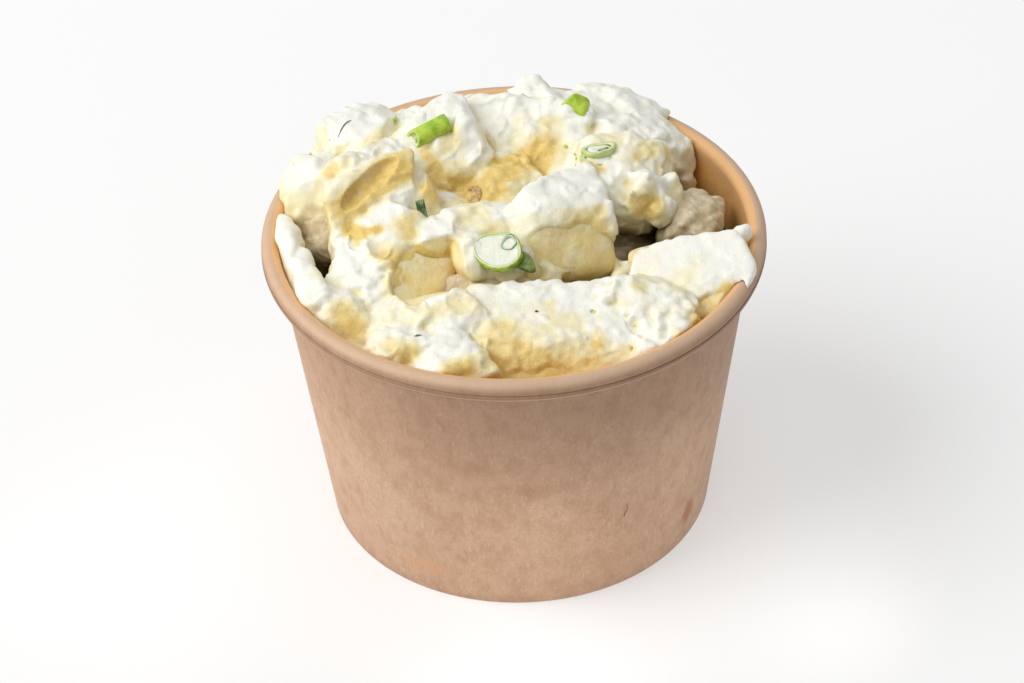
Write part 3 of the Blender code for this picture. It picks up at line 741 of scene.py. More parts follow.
def surfaceOf(field, low, step):
    # surface net: one point in every cell that the zero level crosses, at the mean of the crossings on
    # its edges, and a four-sided face round every grid edge that is crossed; open at the field's sides
    inside = field < 0
    shape = np.array(field.shape)
    count = sum(inside[i:shape[0] - 1 + i, j:shape[1] - 1 + j, k:shape[2] - 1 + k].astype(np.int8)
                for i, j, k in cubeCorners)
    cells = np.argwhere((count > 0) & (count < 8))
    at = [field[tuple((cells + c).T)] for c in cubeCorners]
    middle = np.zeros((len(cells), 3))
    crossings = np.zeros(len(cells))
    for a in range(8):
        for b in range(a + 1, 8):
            if np.abs(cubeCorners[a] - cubeCorners[b]).sum() != 1:
                continue
            crossed = (at[a] < 0) != (at[b] < 0)
            share = np.where(crossed, at[a] / np.where(crossed, at[a] - at[b], 1), 0)
            middle += crossed[:, None] * (cubeCorners[a] + share[:, None] * (cubeCorners[b] - cubeCorners[a]))
            crossings += crossed
    points = (cells + middle / crossings[:, None]) * step + low
    number = np.full(shape - 1, -1)
    number[tuple(cells.T)] = np.arange(len(cells))
    quads = []
    axes = np.eye(3, dtype=int)
    for axis in range(3):
        u, v, ahead = axes[(axis + 1) % 3], axes[(axis + 2) % 3], axes[axis]
        last = shape - ahead
        here = inside[:last[0], :last[1], :last[2]]
        there = inside[ahead[0]:, ahead[1]:, ahead[2]:]
        edges = np.argwhere(here != there)
        edges = edges[((edges >= u + v) & (edges < shape - 1)).all(1)]
        quad = np.stack([number[tuple((edges - d).T)] for d in (u + v, v, 0 * u, u)], 1)
        outward = here[tuple(edges.T)]
        quad[~outward] = quad[~outward][:, ::-1]
        quads.append(quad)
    return points, np.concatenate(quads)


def largestPart(faces, count):
    # numbers each point by the lowest number it is joined to, until nothing changes, and keeps the
    # faces of the commonest number
    label = np.arange(count)
    while True:
        lowest = label[faces].min(1)
        new = label.copy()
        for column in faces.T:
            np.minimum.at(new, column, lowest)
        new = new[new]
        if (new == label).all():
            break
        label = new
    names, counts = np.unique(label[faces[:, 0]], return_counts=True)
    return faces[label[faces[:, 0]] == names[counts.argmax()]]


def triangles(quads, points):
    # each four-sided face is cut along its shorter diagonal
    p = points[quads]
    first = ((p[:, 0] - p[:, 2]) ** 2).sum(1) < ((p[:, 1] - p[:, 3]) ** 2).sum(1)
    one = np.where(first[:, None], quads[:, [0, 1, 2]], quads[:, [0, 1, 3]])
    two = np.where(first[:, None], quads[:, [0, 2, 3]], quads[:, [1, 2, 3]])
    return np.concatenate([one, two])


def closedInside(points, faces, inward, level):
    # the open edges are drawn a little way into the heap, down to one level, and a fan closes them there
    ends = np.concatenate([faces[:, [0, 1]], faces[:, [1, 2]], faces[:, [2, 0]]])
    key = ends[:, 0] * len(points) + ends[:, 1]
    back = ends[:, 1] * len(points) + ends[:, 0]
    rim = ends[~np.isin(key, back)]
    above = np.unique(rim)
    number = np.zeros(len(points), int)
    number[above] = len(points) + np.arange(len(above))
    inside = points[above] + heap["skirt"] * inward[above] - np.array([0, 0, heap["skirtDrop"]])
    inside[:, 2] = np.maximum(inside[:, 2], level)
    below = inside * np.array([heap["skirtDraw"], heap["skirtDraw"], 0]) + np.array([0, 0, level])
    rings = [rim, number[rim], number[rim] + len(above)]
    walls = []
    for upper, lower in zip(rings, rings[1:]):
        walls += [np.column_stack([upper[:, ::-1], lower[:, 0]]), np.column_stack([upper[:, 1], lower])]
    middle = len(points) + 2 * len(above)
    fan = np.stack([rings[2][:, 1], rings[2][:, 0], np.full(len(rim), middle)], 1)
    centre = np.append(below[:, :2].mean(0), level)
    return np.vstack([points, inside, below, centre]), np.concatenate([faces, *walls, fan])


def used(points, faces, values):
    # only the points that these faces use, renumbered
    kept, faces = np.unique(faces, return_inverse=True)
    return points[kept], faces.reshape(-1, 3), {name: v[kept] for name, v in values.items()}


def tubClearance(r, z):
    # distance from the board, positive where the salad may be: the inner wall below the middle of the
    # roll, and the round of the roll above it; never past the rim
    bead = tub["rollWidth"] / 2
    middle = tub["height"] - bead
    ring = np.hypot(r - (tub["rimRadius"] - bead), z - middle) - bead
    return np.where(z < middle, wallInner(z) - r, np.minimum(ring, tub["rimRadius"] - heap["rimGap"] - r))


def saladField(step):
    # every lump is worked out in its own small box of the grid, and put into the whole by soft minimum
    low = np.array([-heap["reach"], -heap["reach"], heap["floor"]])
    high = np.array([heap["reach"], heap["reach"], heap["top"]])
    shape = np.ceil((high - low) / step).astype(int) + 1
    axes = [(low[i] + step * np.arange(shape[i])).astype(np.float32) for i in range(3)]
    grid = np.meshgrid(*axes, indexing="ij", sparse=True)
    noise = {wave: latticeNoise(shape, step, wave, int(wave * 100)) for wave in (9.0, 4.6, 2.6, 1.5, 0.9)}
    warp = [latticeNoise(shape, step, heap["warp"], seeds["warp"] + i) for i in range(3)]
    print("noise made on", tuple(shape))

    def boxOf(centre, half):
        reach = np.linalg.norm(half) * heap["boxShare"] + heap["boxSpare"]
        a = np.clip(((np.array(centre) - reach - low) / step).astype(int), 0, shape - 2)
        b = np.clip(((np.array(centre) + reach - low) / step).astype(int) + 1, a + 1, shape)
        return tuple(slice(i, j) for i, j in zip(a, b))

    def gridIn(box):
        return [grid[i][tuple(box[k] if k == i else slice(None) for k in range(3))] for i in range(3)]

    def lumps(kind):
        # each piece of a kind: its box of the grid and its distance there, bent by slow noise
        for i, (name, spec) in enumerate(lumpKinds[kind].items()):
            box = boxOf(*spec[:2])
            bent = [c + bends[kind] * w[box] for c, w in zip(gridIn(box), warp)]
            yield box, lumpDistance(*bent, *spec, seeds[kind] + i, knifeCuts.get(name, ()))

    def mixed(name, start=0, box=...):
        # sum of the waves of noise, each times its share
        for wave, share in mixes[name].items():
            start = start + share * noise[wave][box]
        return start

    def spread(places):
        # a soft ragged band along each row of places: its strength, falling to 0 at twice its reach from
        # the nearest point a + t (b - a) of the lines between them
        strongest = np.zeros(shape, np.float32)
        for spots, reach, strength in places.values():
            spots = np.array(spots, float)
            for a, b in zip(spots, spots[1:] if len(spots) > 1 else spots):
                along = b - a
                box = boxOf((a + b) / 2, np.abs(along) / 2 + 1.5 * reach)
                q = [c - start for c, start in zip(gridIn(box), a)]
                t = np.clip(sum(c * w for c, w in zip(q, along)) / max(along @ along, 1e-6), 0, 1)
                distance = np.sqrt(sum((c - t * w) ** 2 for c, w in zip(q, along))) / reach
                distance = distance * mixed("ragged", 1, box)
                band = strength * smooth(*heap["bandFade"], distance).astype(np.float32)
                strongest[box] = np.maximum(strongest[box], band)
        return strongest

    cuts = np.full(shape, np.float32(heap["far"]))
    blobs = cuts.copy()
    for box, d in lumps("potato"):
        cuts[box] = np.minimum(cuts[box], d)
    for box, d in lumps("dressing"):
        blobs[box] = softMin(blobs[box], d, heap["join"])
    # the floor of the field: a low dome of dressing
    r = np.hypot(grid[0], grid[1])
    edge = wallInner(heap["fillHeight"]) - heap["domeGap"]
    rise = heap["coreTop"] - heap["fillHeight"]
    dome = grid[2] - heap["fillHeight"] - rise * np.sqrt(np.clip(1 - (r / edge) ** 2, 0, 1)) + 0 * blobs
    blobs = softMin(blobs, heap["domeSlope"] * dome, heap["join"])
    body = softMin(cuts, mixed("lumps", blobs), heap["join"])
    for box, d in lumps("scoops"):
        body[box] = -softMin(-body[box], d, heap["scoopJoin"])
    for box, d in lumps("wisps"):
        body[box] = softMin(body[box], mixed("wisps", d, box), heap["wispJoin"])

    bareness = np.zeros(shape, np.float32)
    for centre, half in bareFaces.values():
        patch = sum(((g - c) / h) ** 2 for g, c, h in zip(grid, centre, half))
        torn = smooth(*heap["bareFade"], mixed("torn", patch))
        bareness = np.maximum(bareness, torn.astype(np.float32))
    # the white layer lies on what faces up, so steep and downward faces stay yellow, partly as painted shade;
    # it is torn in patches by noise, and ends in steep ragged edges
    gold = spread(goldPlaces)
    rough = spread(roughPlaces)
    calm = 1 - layer["calm"] * spread(smoothPlaces)
    up = np.gradient(body, step, axis=2)
    sauce = (mixed("sauce", layer["cover"]) + layer["upGain"] * (up - layer["upLevel"])
             - layer["goldLoss"] * np.maximum(gold, bareness) + layer["whiteGain"] * spread(whitePlaces))
    del up
    # the yellow comes through gradually, and the layer's own thickness changes more gently still
    shown = sauce + layer["goldShare"] * gold - layer["bareShare"] * bareness
    share = smooth(layer["from"], layer["to"], shown).astype(np.float32)
    # its relief: curds, sharp crests, and two saw waves of slow noise with one steep side
    crests = np.maximum(layer["crestWidth"] - np.abs(mixed("crests")), 0)
    relief = (1 + layer["roughGain"] * rough) * (mixed("curds") + layer["crests"] * crests)
    relief = relief + layer["flakes"] * sawWave(mixed("flakes"), layer["flakePeak"])
    crumbs = layer["crumbs"] + layer["roughCrumbs"] * rough
    relief = relief + crumbs * sawWave(mixed("crumbs"), layer["crumbPeak"])
    thickness = heap["sauce"] * mixed("thickness", layer["thickness"]) + calm * relief
    thickness = share * np.maximum(thickness, layer["least"])
    grit = mixed("grit") + layer["gritCrests"] * crests
    film = (heap["film"] + grit) * (1 - bareness) + heap["bare"] * bareness
    cream = body - film - thickness
    clearance = tubClearance(r, grid[2] + 0 * r) - heap["gap"]
    held = -softMin(-cream, clearance, heap["rimJoin"])
    return held.astype(np.float32), sauce.astype(np.float32), gold, low


def groupOf(points):
    # the group of the lump that lies nearest each point
    group = np.zeros(len(points), int)
    best = np.full(len(points), 1e9, np.float32)
    members = list(dressingGroups.values())
    x, y, z = points.T.astype(np.float32)
    for kind in ("potato", "dressing", "wisps"):
        for i, (name, spec) in enumerate(lumpKinds[kind].items()):
            d = lumpDistance(x, y, z, *spec, seeds[kind] + i, knifeCuts.get(name, ()))
            group[d < best] = next((g for g, names in enumerate(members) if name in names), len(members) - 1)
            best = np.minimum(best, d)
    return group


def settled(group, faces, rounds=6):
    # stray points take the group that most of their neighbours have, so that the seams run smoothly
    for _ in range(rounds):
        votes = np.zeros((len(group), len(dressingGroups)), np.int32)
        for column in faces.T:
            for other in faces.T:
                np.add.at(votes, (column, group[other]), 1)
        group = votes.argmax(1)
    return group


def makeDressing():
    step = heap["step"]
    field, sauce, gold, low = saladField(step)
    points, quads = surfaceOf(field, low, step)
    quads = largestPart(quads, len(points))
    # how enclosed each point is, at two widths, and how steep: the material paints shade from these
    solid = (field < 0).astype(np.float32)
    crevice = sampled(blur(solid, heap["creviceWidth"], step), points, low, step)
    valley = sampled(blur(solid, heap["valleyWidth"], step), points, low, step)
    del solid
    faces = triangles(quads, points)
    # outward direction of each point: from the field's slope for the skirt, and from the faces for shading
    slope = np.stack([sampled(field, points + d, low, step) - sampled(field, points - d, low, step)
                      for d in np.eye(3) * heap["slopeReach"]], 1)
    slope /= np.linalg.norm(slope, axis=1)[:, None] + 1e-9
    corners = points[faces]
    across = np.cross(corners[:, 1] - corners[:, 0], corners[:, 2] - corners[:, 0])
    facing = np.stack([sum(np.bincount(column, across[:, i], len(points)) for column in faces.T)
                       for i in range(3)], 1)
    facing /= np.linalg.norm(facing, axis=1)[:, None] + 1e-9
    values = {"sauce": sampled(sauce, points, low, step), "crevice": crevice, "valley": valley,
              "gold": sampled(gold, points, low, step), "steep": 1 - np.clip(slope[:, 2], 0, 1),
              "inward": -slope, "facing": facing}
    faceGroup = settled(groupOf(points), quads)[faces[:, 0]]
    material = dressingMaterial()
    for g, name in enumerate(dressingGroups):
        p, f, v = used(points, faces[faceGroup == g], values)
        inward, facing = v.pop("inward"), v.pop("facing")
        p, f = closedInside(p, f, inward, heap["skirtFloor"])
        piece = putInScene(name, p, f, material, "potato_and_dressing", ("potato_salad",))
        # the skirt is hidden: middling values, facing up; both sides of a seam are shaded the same way
        skirt = len(p) - len(facing)
        for key, numbers in v.items():
            addValues(piece, key, np.append(numbers, np.full(skirt, 0.5)))
        facing = np.vstack([facing, np.tile((0.0, 0.0, 1.0), (skirt, 1))])
        piece.data.normals_split_custom_set_from_vertices(facing)
        print(name, len(f), "triangles")
    # the highest point of the salad in each column of the grid
    levels = low[2] + step * np.arange(field.shape[2])
    return np.where(field < 0, levels, 0).max(2), low, step


def potatoColour(tree, depth):
    # boiled potato: pale straw, mottled, golden by the given share: mostly painted shade where the dressing
    # gives it, random tone on the cut faces
    cloud = noiseNode(tree, 170, 4, 0.6)
    meal = noiseNode(tree, 1100, 4, 0.6)
    colour = painted(tree, (243, 226, 164), (cloud, 0.36, 0.66, 0, 1, (244, 233, 190)),
                     (meal, 0.30, 0.60, 0.22, 0, (224, 196, 126)))
    return blendColour(tree, depth, colour, (220, 182, 96))


def dressingMaterial():
    # white dressing over yellow potato: where the layer is thin the yellow comes through, and painted shade
    # deepens it to gold in narrow, low and steep places
    made, tree = newMaterial("dressing", 0.38, 0.42, (0.35, (1.0, 0.88, 0.62), 0.0007))
    cloud = noiseNode(tree, 220, 4, 0.6)
    curd = noiseNode(tree, 700, 4, 0.65)
    grain = noiseNode(tree, 2200, 3, 0.6)
    meal = noiseNode(tree, 1300, 3, 0.6)
    crevice = remap(tree, readValue(tree, "crevice"), 0.50, 0.72)
    valley = remap(tree, readValue(tree, "valley"), 0.50, 0.80)
    steep = remap(tree, readValue(tree, "steep"), 0.25, 1.0)
    gold = readValue(tree, "gold")
    depth = total(tree, (crevice, 0.30), (valley, 0.50), (steep, 0.20), (gold, 0.45), (cloud, 0.35))
    golden = total(tree, (gold, 1.0), (valley, 0.3))
    brown = total(tree, (gold, 1.0), (crevice, 0.25), (valley, 0.25))
    # the broken face is mealy: pale grains show in the gold; the golden and brown coats are painted shade in
    # crevices and valleys and deepen the gold places
    potatoShade = painted(tree, potatoColour(tree, remap(tree, depth, 0.30, 1.10)),
                          (golden, 0.60, 1.15, 0, 0.8, (231, 201, 112)),
                          (meal, 0.48, 0.66, 0, 0.45, (244, 222, 168)),
                          (brown, 1.40, 1.85, 0, 1, (190, 146, 68)))
    # painted shade: the white goes creamy in crevices, valleys and steep places
    soft = total(tree, (crevice, 0.55), (valley, 0.40), (steep, 0.30), (cloud, 0.35))
    sauceShade = painted(tree, (249, 247, 236), (soft, 0.20, 1.05, 0, 1, (241, 230, 186)),
                         (grain, 0.58, 0.75, 0, 0.15, (253, 252, 246)))
    smear = remap(tree, noiseNode(tree, 260, 4, 0.55), 0.42, 0.66, 0.0, 0.55)
    covered = total(tree, (readValue(tree, "sauce"), 1.0), (curd, 0.80), (smear, 0.6))
    colour = painted(tree, potatoShade, (covered, 0.20, 0.95, 0, 1, (243, 233, 192)),
                     (covered, 0.85, 1.75, 0, 1, sauceShade))
    # painted shade: brown deep between the lumps, low down and behind the front blocks
    paintedPitShade = calculate(tree, "MULTIPLY", remap(tree, readValue(tree, "valley"), 0.42, 0.56),
                    remap(tree, placeAlong(tree, "Z"), 0.0612, 0.0582, 0, 0.9))
    paintedPitShade = calculate(tree, "MULTIPLY", paintedPitShade, remap(tree, placeAlong(tree, "Y"), -0.028, -0.022))
    colour = blendColour(tree, paintedPitShade, colour, (112, 92, 50))
    dressed(tree, colour, (total(tree, (curd, 1.0), (grain, 0.4)), 0.45, 0.0005))
    return made


def chunk(centre, half, turn, sharpness, cuts, seed, rows, columns, rough, knife=()):
    # the same flat-faced lump on two angles: u = (sin a cos b, sin a sin b, cos a) and
    # p = u / (sum max(0, m.u)^n)^(1/n), with low bumps along the ray; the poles are single points
    a = np.linspace(0, math.pi, rows)[1:-1, None]
    b = ringOf(columns)[None, :]
    u = np.stack([np.sin(a) * np.cos(b), np.sin(a) * np.sin(b), np.cos(a) + 0 * b], -1).reshape(-1, 3)
    u = np.vstack([u, [[0, 0, 1], [0, 0, -1]]])
    s = (np.maximum(u @ flatFaces(half, turn, cuts, seed, knife).T, 0) ** sharpness).sum(1) ** (1 / sharpness)
    p = u / s[:, None]
    bumps = sum(size * waveNoise(p, wave, seed + i) for i, (wave, size) in enumerate(rough))
    p = p + u * bumps[:, None] + np.array(centre)
    return closedTube(p[:-2], columns, p[-2], p[-1])


def heldInTub(points, spare):
    # points past the board are drawn in to just inside it
    r = np.hypot(points[:, 0], points[:, 1])
    share = np.minimum(1, (wallInner(points[:, 2]) - spare) / np.maximum(r, 1e-6))
    return np.column_stack([points[:, :2] * share[:, None], points[:, 2]])


def potatoMaterial():
    # the cut faces: the same potato, waxy and a little mealy, with a film of dressing smeared on it, and
    # deeper gold towards the foot of the blocks as painted shade
    made, tree = newMaterial("boiledPotato", 0.40, 0.40, (0.40, (1.0, 0.80, 0.42), 0.0010))
    smear = noiseNode(tree, 260, 5, 0.6, distortion=0.3)
    cloud = noiseNode(tree, 140, 3, 0.55)
    meal = noiseNode(tree, 1100, 4, 0.6)
    colour = painted(tree, potatoColour(tree, remap(tree, cloud, 0.36, 0.66, 0.0, 0.50)),
                     (smear, 0.50, 0.72, 0, 0.65, (242, 236, 208)),
                     (placeAlong(tree, "Z"), 0.0640, 0.0590, 0, 0.55, (232, 202, 116)))
    dressed(tree, colour, (smear, 0.55, 0.0009), (meal, 0.50, 0.0003))
    return made


def tanMaterial():
    # duller, mauve-beige, crumbly pieces deep in the heap, wet with dressing in places, and painted shade
    # makes them darker low down
    made, tree = newMaterial("tanPotato", 0.48, 0.38, (0.35, (1.0, 0.70, 0.45), 0.0012))
    cloud = noiseNode(tree, 210, 4, 0.6)
    grain = noiseNode(tree, 900, 3, 0.6)
    wet = noiseNode(tree, 420, 4, 0.6, distortion=0.8)
    colour = painted(tree, (204, 186, 150), (cloud, 0.36, 0.64, 0, 1, (228, 215, 186)),
                     (grain, 0.32, 0.56, 0.30, 0, (172, 146, 108)),
                     (wet, 0.56, 0.72, 0, 0.7, (240, 232, 214)),
                     (placeAlong(tree, "Z"), 0.0612, 0.0572, 0, 0.9, (96, 80, 46)))
    dressed(tree, colour, (cloud, 0.5, 0.0012), (grain, 0.4, 0.0003))
    return made


def makePotatoes():
    # one piece for each kind; the scooped slice is in the dressing's own surface. Each kind has the rows
    # and columns of its chunks, and its bumps as waves and heights
    made = 0
    for name, kind, (rows, columns), rough, material in (
            ("potatoCubes", "potato", (64, 104), ((5.0, 0.06), (1.4, 0.03)), potatoMaterial()),
            ("potatoTanPieces", "tan", (90, 140), ((6.0, 0.5), (2.8, 0.20), (1.3, 0.08)), tanMaterial())):
        chunks = [chunk(*spec, seeds[kind] + i, rows, columns, rough, knifeCuts.get(part, ()))
                  for i, (part, spec) in enumerate(lumpKinds[kind].items()) if part != "leftSlice"]
        points, faces = joined(chunks)
        putInScene(name, heldInTub(points, heap["coreGap"]), faces, material, "potato_and_dressing")
        made += len(chunks)
    print("potato pieces made,", made)


def makeCore():
    # what fills the tub under the lumps: a profile carried round, with a low uneven dome
    bottom = tub["foldHeight"] + heap["coreGap"]
    heights = np.linspace(bottom + core["bend"], core["shoulder"], core["sideRows"])
    side = np.stack([wallInner(heights) - heap["coreGap"], heights], 1)
    t = np.linspace(0, 1, core["topRows"])[1:]
    top = np.stack([(1 - t) * side[-1, 0], core["shoulder"] + core["rise"] * np.sqrt(1 - (1 - t) ** 2)], 1)
    base = np.array([[r, bottom] for r in (*core["floorRings"], side[0, 0] - core["bend"])])
    points = carriedRound(np.concatenate([base, side, top[:-1]]), core["around"])
    bumps = core["bumps"] * waveNoise(points, core["bumpWave"], seeds["core"])
    points[:, 2] += bumps * smooth(*core["bumpsFrom"], points[:, 2])
    middle = core["shoulder"] + core["rise"]
    points, faces = closedTube(points, core["around"], (0, 0, bottom), (0, 0, middle))
    # painted shade: a dark olive-brown core seen in the gaps between the lumps
    material, tree = newMaterial("paintedShadeCore", 0.45)
    cloud = noiseNode(tree, 240, 4, 0.6)
    colour = painted(tree, (112, 90, 50), (cloud, 0.38, 0.64, 0, 1, (150, 126, 78)))
    dressed(tree, colour, (cloud, 0.5, 0.001))
    putInScene("saladCore", points, faces, material, "potato_and_dressing", ("potato_salad",))
    print("core made,", len(faces), "faces")


# each scallion piece: the CAD node it stands for, its finish, and its shape: middle, the way it points, turn
# of the oval, half sizes of the oval, half length, how wavy its edge is, thickness of the ring, depth of the
# opening; a leaf has corners and a fold, and a stem may be cut aslant
scallion = {
    "ringFront": ("scallion_ring_front", "pale", dict(
        at=(-3.0, -12.8, 66.9), way=(-0.16, -0.40, 0.90), turn=-6, half=(4.9, 3.9), length=1.1, wavy=0.08,
        skin=0.55, depth=0.25)),
    "ringInner": ("", "grey", dict(
        at=(-0.9, -11.8, 67.9), way=(-0.10, -0.50, 0.86), turn=20, half=(1.6, 1.5), length=0.9, wavy=0.14,
        skin=0.42, depth=0.7)),
    "stemLeft": ("scallion_stem_left", "bright", dict(
        at=(-15.6, 19.8, 72.2), way=(-7.2, -3.4, -1.8), turn=0, half=(1.85, 1.7), length=3.9, wavy=0.05,
        skin=0.6, depth=0.5, slant=0.5)),
    "leafBack": ("scallion_leaf_back", "bright", dict(
        at=(12.9, 26.4, 72.3), way=(0.1, -0.75, 0.66), turn=30, half=(2.9, 2.5), length=0.4, wavy=0.03,
        corners=5, fold=0.5)),
    "slicesBack": ("scallion_slices_back", "olive", dict(
        at=(16.8, 12.6, 71.4), way=(-0.05, 0.15, 0.98), turn=4, half=(3.4, 2.3), length=0.7, wavy=0.15,
        skin=0.9, depth=0.6)),
    "slicesUnder": ("", "olive", dict(
        at=(16.2, 10.6, 70.7), way=(0.10, -0.1, 0.98), turn=-8, half=(3.2, 1.9), length=0.5, wavy=0.12,
        skin=1.0, depth=0.3)),
    "ringEdge": ("", "moss", dict(
        at=(1.3, -13.9, 65.5), way=(-0.22, -0.40, 0.88), turn=-40, half=(3.0, 1.7), length=0.8, wavy=0.12)),
    "sliverLeft": ("scallion_sliver_left", "dark", dict(
        at=(-17.2, -2.2, 68.1), way=(0.20, -0.6, -0.8), turn=50, half=(0.85, 0.5), length=3.0, wavy=0.34)),
    "bitRight": ("scallion_bit_right", "dark", dict(
        at=(18.2, -1.6, 66.6), way=(0.25, -0.35, -0.9), turn=0, half=(1.1, 1.4), length=2.8, wavy=0.16)),
}
# skin light and dark, cut flesh, and the inside of the opening
scallionFinish = {
    "pale": ((186, 208, 92), (124, 154, 44), (210, 222, 138), (236, 238, 220)),
    "grey": ((120, 160, 92), (70, 108, 48), (196, 212, 186), (168, 190, 172)),
    "bright": ((194, 220, 74), (150, 188, 40), (206, 222, 128), (196, 210, 120)),
    # olive: its dark olive opening is painted shade inside the slot
    "olive": ((204, 218, 146), (168, 188, 96), (216, 226, 170), (106, 112, 34)),
    "moss": ((132, 152, 62), (92, 112, 42), (170, 184, 110), (110, 124, 50)),
    # dark: deep green, darkened further as painted shade for the pieces sunk in the crevices
    "dark": ((108, 136, 92), (44, 74, 46), (150, 170, 110), (90, 110, 60)),
}


def axesOf(way, turn):
    # three unit directions: along the piece, across it and the third, turned about the first
    up = np.array(way, float) / np.linalg.norm(way)
    across = np.array([1.0, 0, 0]) - up * up[0]
    across /= np.linalg.norm(across)
    other = np.cross(up, across)
    t = math.radians(turn)
    return up, across * math.cos(t) + other * math.sin(t), other * math.cos(t) - across * math.sin(t)


def ovalTube(seed, at, way, turn, half, length, wavy, skin=0, depth=0, corners=0, slant=0, fold=0, around=72):
    # a profile of (inset, height) carried round an oval: p = at + (a - inset) cos t across
    # + (b - inset) sin t other + height up, the oval made wavy by slow sine waves of t
    up, across, other = axesOf(way, turn)
    small = min(half)
    edge = 0.16 * small
    # rows of the profile: near end, side, rounded far edge, then the ring and its opening or a plain end
    rows = [(small * 0.55, -length), (small * 0.2, -length), (edge * 0.3, -length + edge * 0.3)]
    rows += [(0, z) for z in np.linspace(-length + edge, length - edge, 8)]
    rows += [(0.08 * edge, length - 0.4 * edge), (0.45 * edge, length - 0.05 * edge)]
    if skin:
        rows += [(0.5 * skin + 0.2 * edge, length), (skin, length - 0.1), (skin + 0.08, length - 0.4)]
        rows += [(skin + 0.1, length - d) for d in np.linspace(0.4, depth, 4)[1:]]
        rows += [(skin + 0.5, length - depth - 0.12), (small * 0.6, length - depth)]
    else:
        rows += [(small * 0.3, length), (small * 0.6, length + 0.02)]
    rows = np.array(rows)
    t = ringOf(around)[None, :]
    phase = np.random.default_rng(seed).uniform(0, 2 * math.pi, 4)
    wave = sum(np.sin((k + 2) * t + phase[k]) / (k + 1.5) for k in range(4)) * wavy
    inset, z = rows[:, :1], rows[:, 1:]
    if corners:
        # a leaf cut with straight sides: the oval's reach is cos(pi / n) / cos(angle from a side's middle)
        side = np.mod(t + phase[0], 2 * math.pi / corners) - math.pi / corners
        wave = wave + np.minimum(math.cos(math.pi / corners) / np.cos(side) * 1.12, 1) - 1
    a = np.maximum(half[0] - inset, 0.02) * (1 + wave)
    b = np.maximum(half[1] - inset, 0.02) * (1 + wave)
    # the far end is cut aslant, its face turned to the viewer, and a leaf is folded along its middle
    toViewer = np.array([0, -0.78, 0.62])
    flat = (a * np.cos(t))[..., None] * across + (b * np.sin(t))[..., None] * other
    tilt = 0.10 * length * (z > 0) * np.cos(t + phase[0])
    tilt = tilt - slant * smooth(-0.2, 1, z / length) * (flat @ toViewer)
    tilt = tilt - fold * np.abs(a * np.cos(t) - 0.2 * half[0])
    points = (np.array(at) + flat + (z + tilt)[..., None] * up).reshape(-1, 3)
    # 1 on the skin, 0 on the cut ring, -1 in the opening
    values = np.ones(len(rows))
    if skin:
        values[(rows[:, 0] > 0.3 * skin) & (rows[:, 1] > 0)] = 0
        values[(rows[:, 0] > skin) & (rows[:, 1] > 0)] = -1
    values = np.append(np.repeat(values, around), [values[0], values[-1]])
    points, faces = closedTube(points, around, points[:around].mean(0), points[-around:].mean(0))
    return points, faces, values


def scallionMaterial(name, skin, deep, flesh, opening):
    # green skin with fine veins, pale wet flesh where the piece is cut, and the colour of the opening
    made, tree = newMaterial(name, 0.26, 0.5, (0.25, (0.6, 1.0, 0.3), 0.0008))
    cloud = noiseNode(tree, 420, 3, 0.5)
    vein = noiseNode(tree, 1600, 2, 0.5, distortion=0.5)
    wet = noiseNode(tree, 900, 3, 0.6, distortion=0.6)
    part = readValue(tree, "skin")
    green = painted(tree, deep, (cloud, 0.38, 0.62, 0, 1, skin), (vein, 0.50, 0.70, 0, 0.25, (206, 222, 120)))
    inner = painted(tree, flesh, (wet, 0.45, 0.65, 0, 0.6, (236, 240, 222)))
    hollow = painted(tree, opening, (wet, 0.50, 0.70, 0, 0.5, (248, 249, 244)))
    colour = painted(tree, inner, (part, 0.25, 0.75, 0, 1, green), (part, -0.25, -0.75, 0, 1, hollow))
    dressed(tree, colour, (calculate(tree, "ADD", vein, wet), 0.4, 0.0003))
    return made


def makeScallions():
    finishes = {name: scallionMaterial("scallion" + name.capitalize(), *shades)
                for name, shades in scallionFinish.items()}
    for i, (name, (node, finish, shape)) in enumerate(scallion.items()):
        points, faces, skin = ovalTube(seeds["scallion"] + i, **shape)
        piece = putInScene("scallion" + name[0].upper() + name[1:], points, faces, finishes[finish],
                           "scallion_green", (node,) if node else ())
        addValues(piece, "skin", skin)
    print("scallions made")


# crumbs: x, y, lift over the salad, or height where fixed, half sizes and turn
specks = {
    "pepper": dict(finish="pepper", crumbs=[
        (3.8, -26.8, 0.25, (0.36, 0.30, 0.28), 20), (-35.2, 22.4, 0.0, (0.2, 0.16, 0.14), 0)]),
    "facetSpot": dict(finish="pepper", fixed=True, crumbs=[(11.5, -10.1, 61.8, (0.22, 0.18, 0.2), 0)]),
    "greenBits": dict(finish="bright", crumbs=[
        (10.9, 19.4, 0.05, (0.9, 0.5, 0.22), 20), (13.0, 16.0, 0.05, (0.8, 0.4, 0.2), -30),
        (12.4, 17.8, 0.0, (0.5, 0.3, 0.16), 60), (-22.6, 28.2, 0.0, (0.34, 0.8, 0.9), 10)]),
    "darkBits": dict(finish="dark", crumbs=[
        (-18.2, -33.4, -0.1, (1.2, 0.6, 0.35), 25), (-17.6, -31.9, -0.2, (0.5, 0.3, 0.2), 0)]),
    "sauceDots": dict(finish="sauce", fixed=True, crumbs=[
        (-42.6, 10.8, 60.6, (0.5, 0.7, 0.5), 0), (-43.4, 7.4, 58.2, (0.35, 0.5, 0.3), 0)]),
}
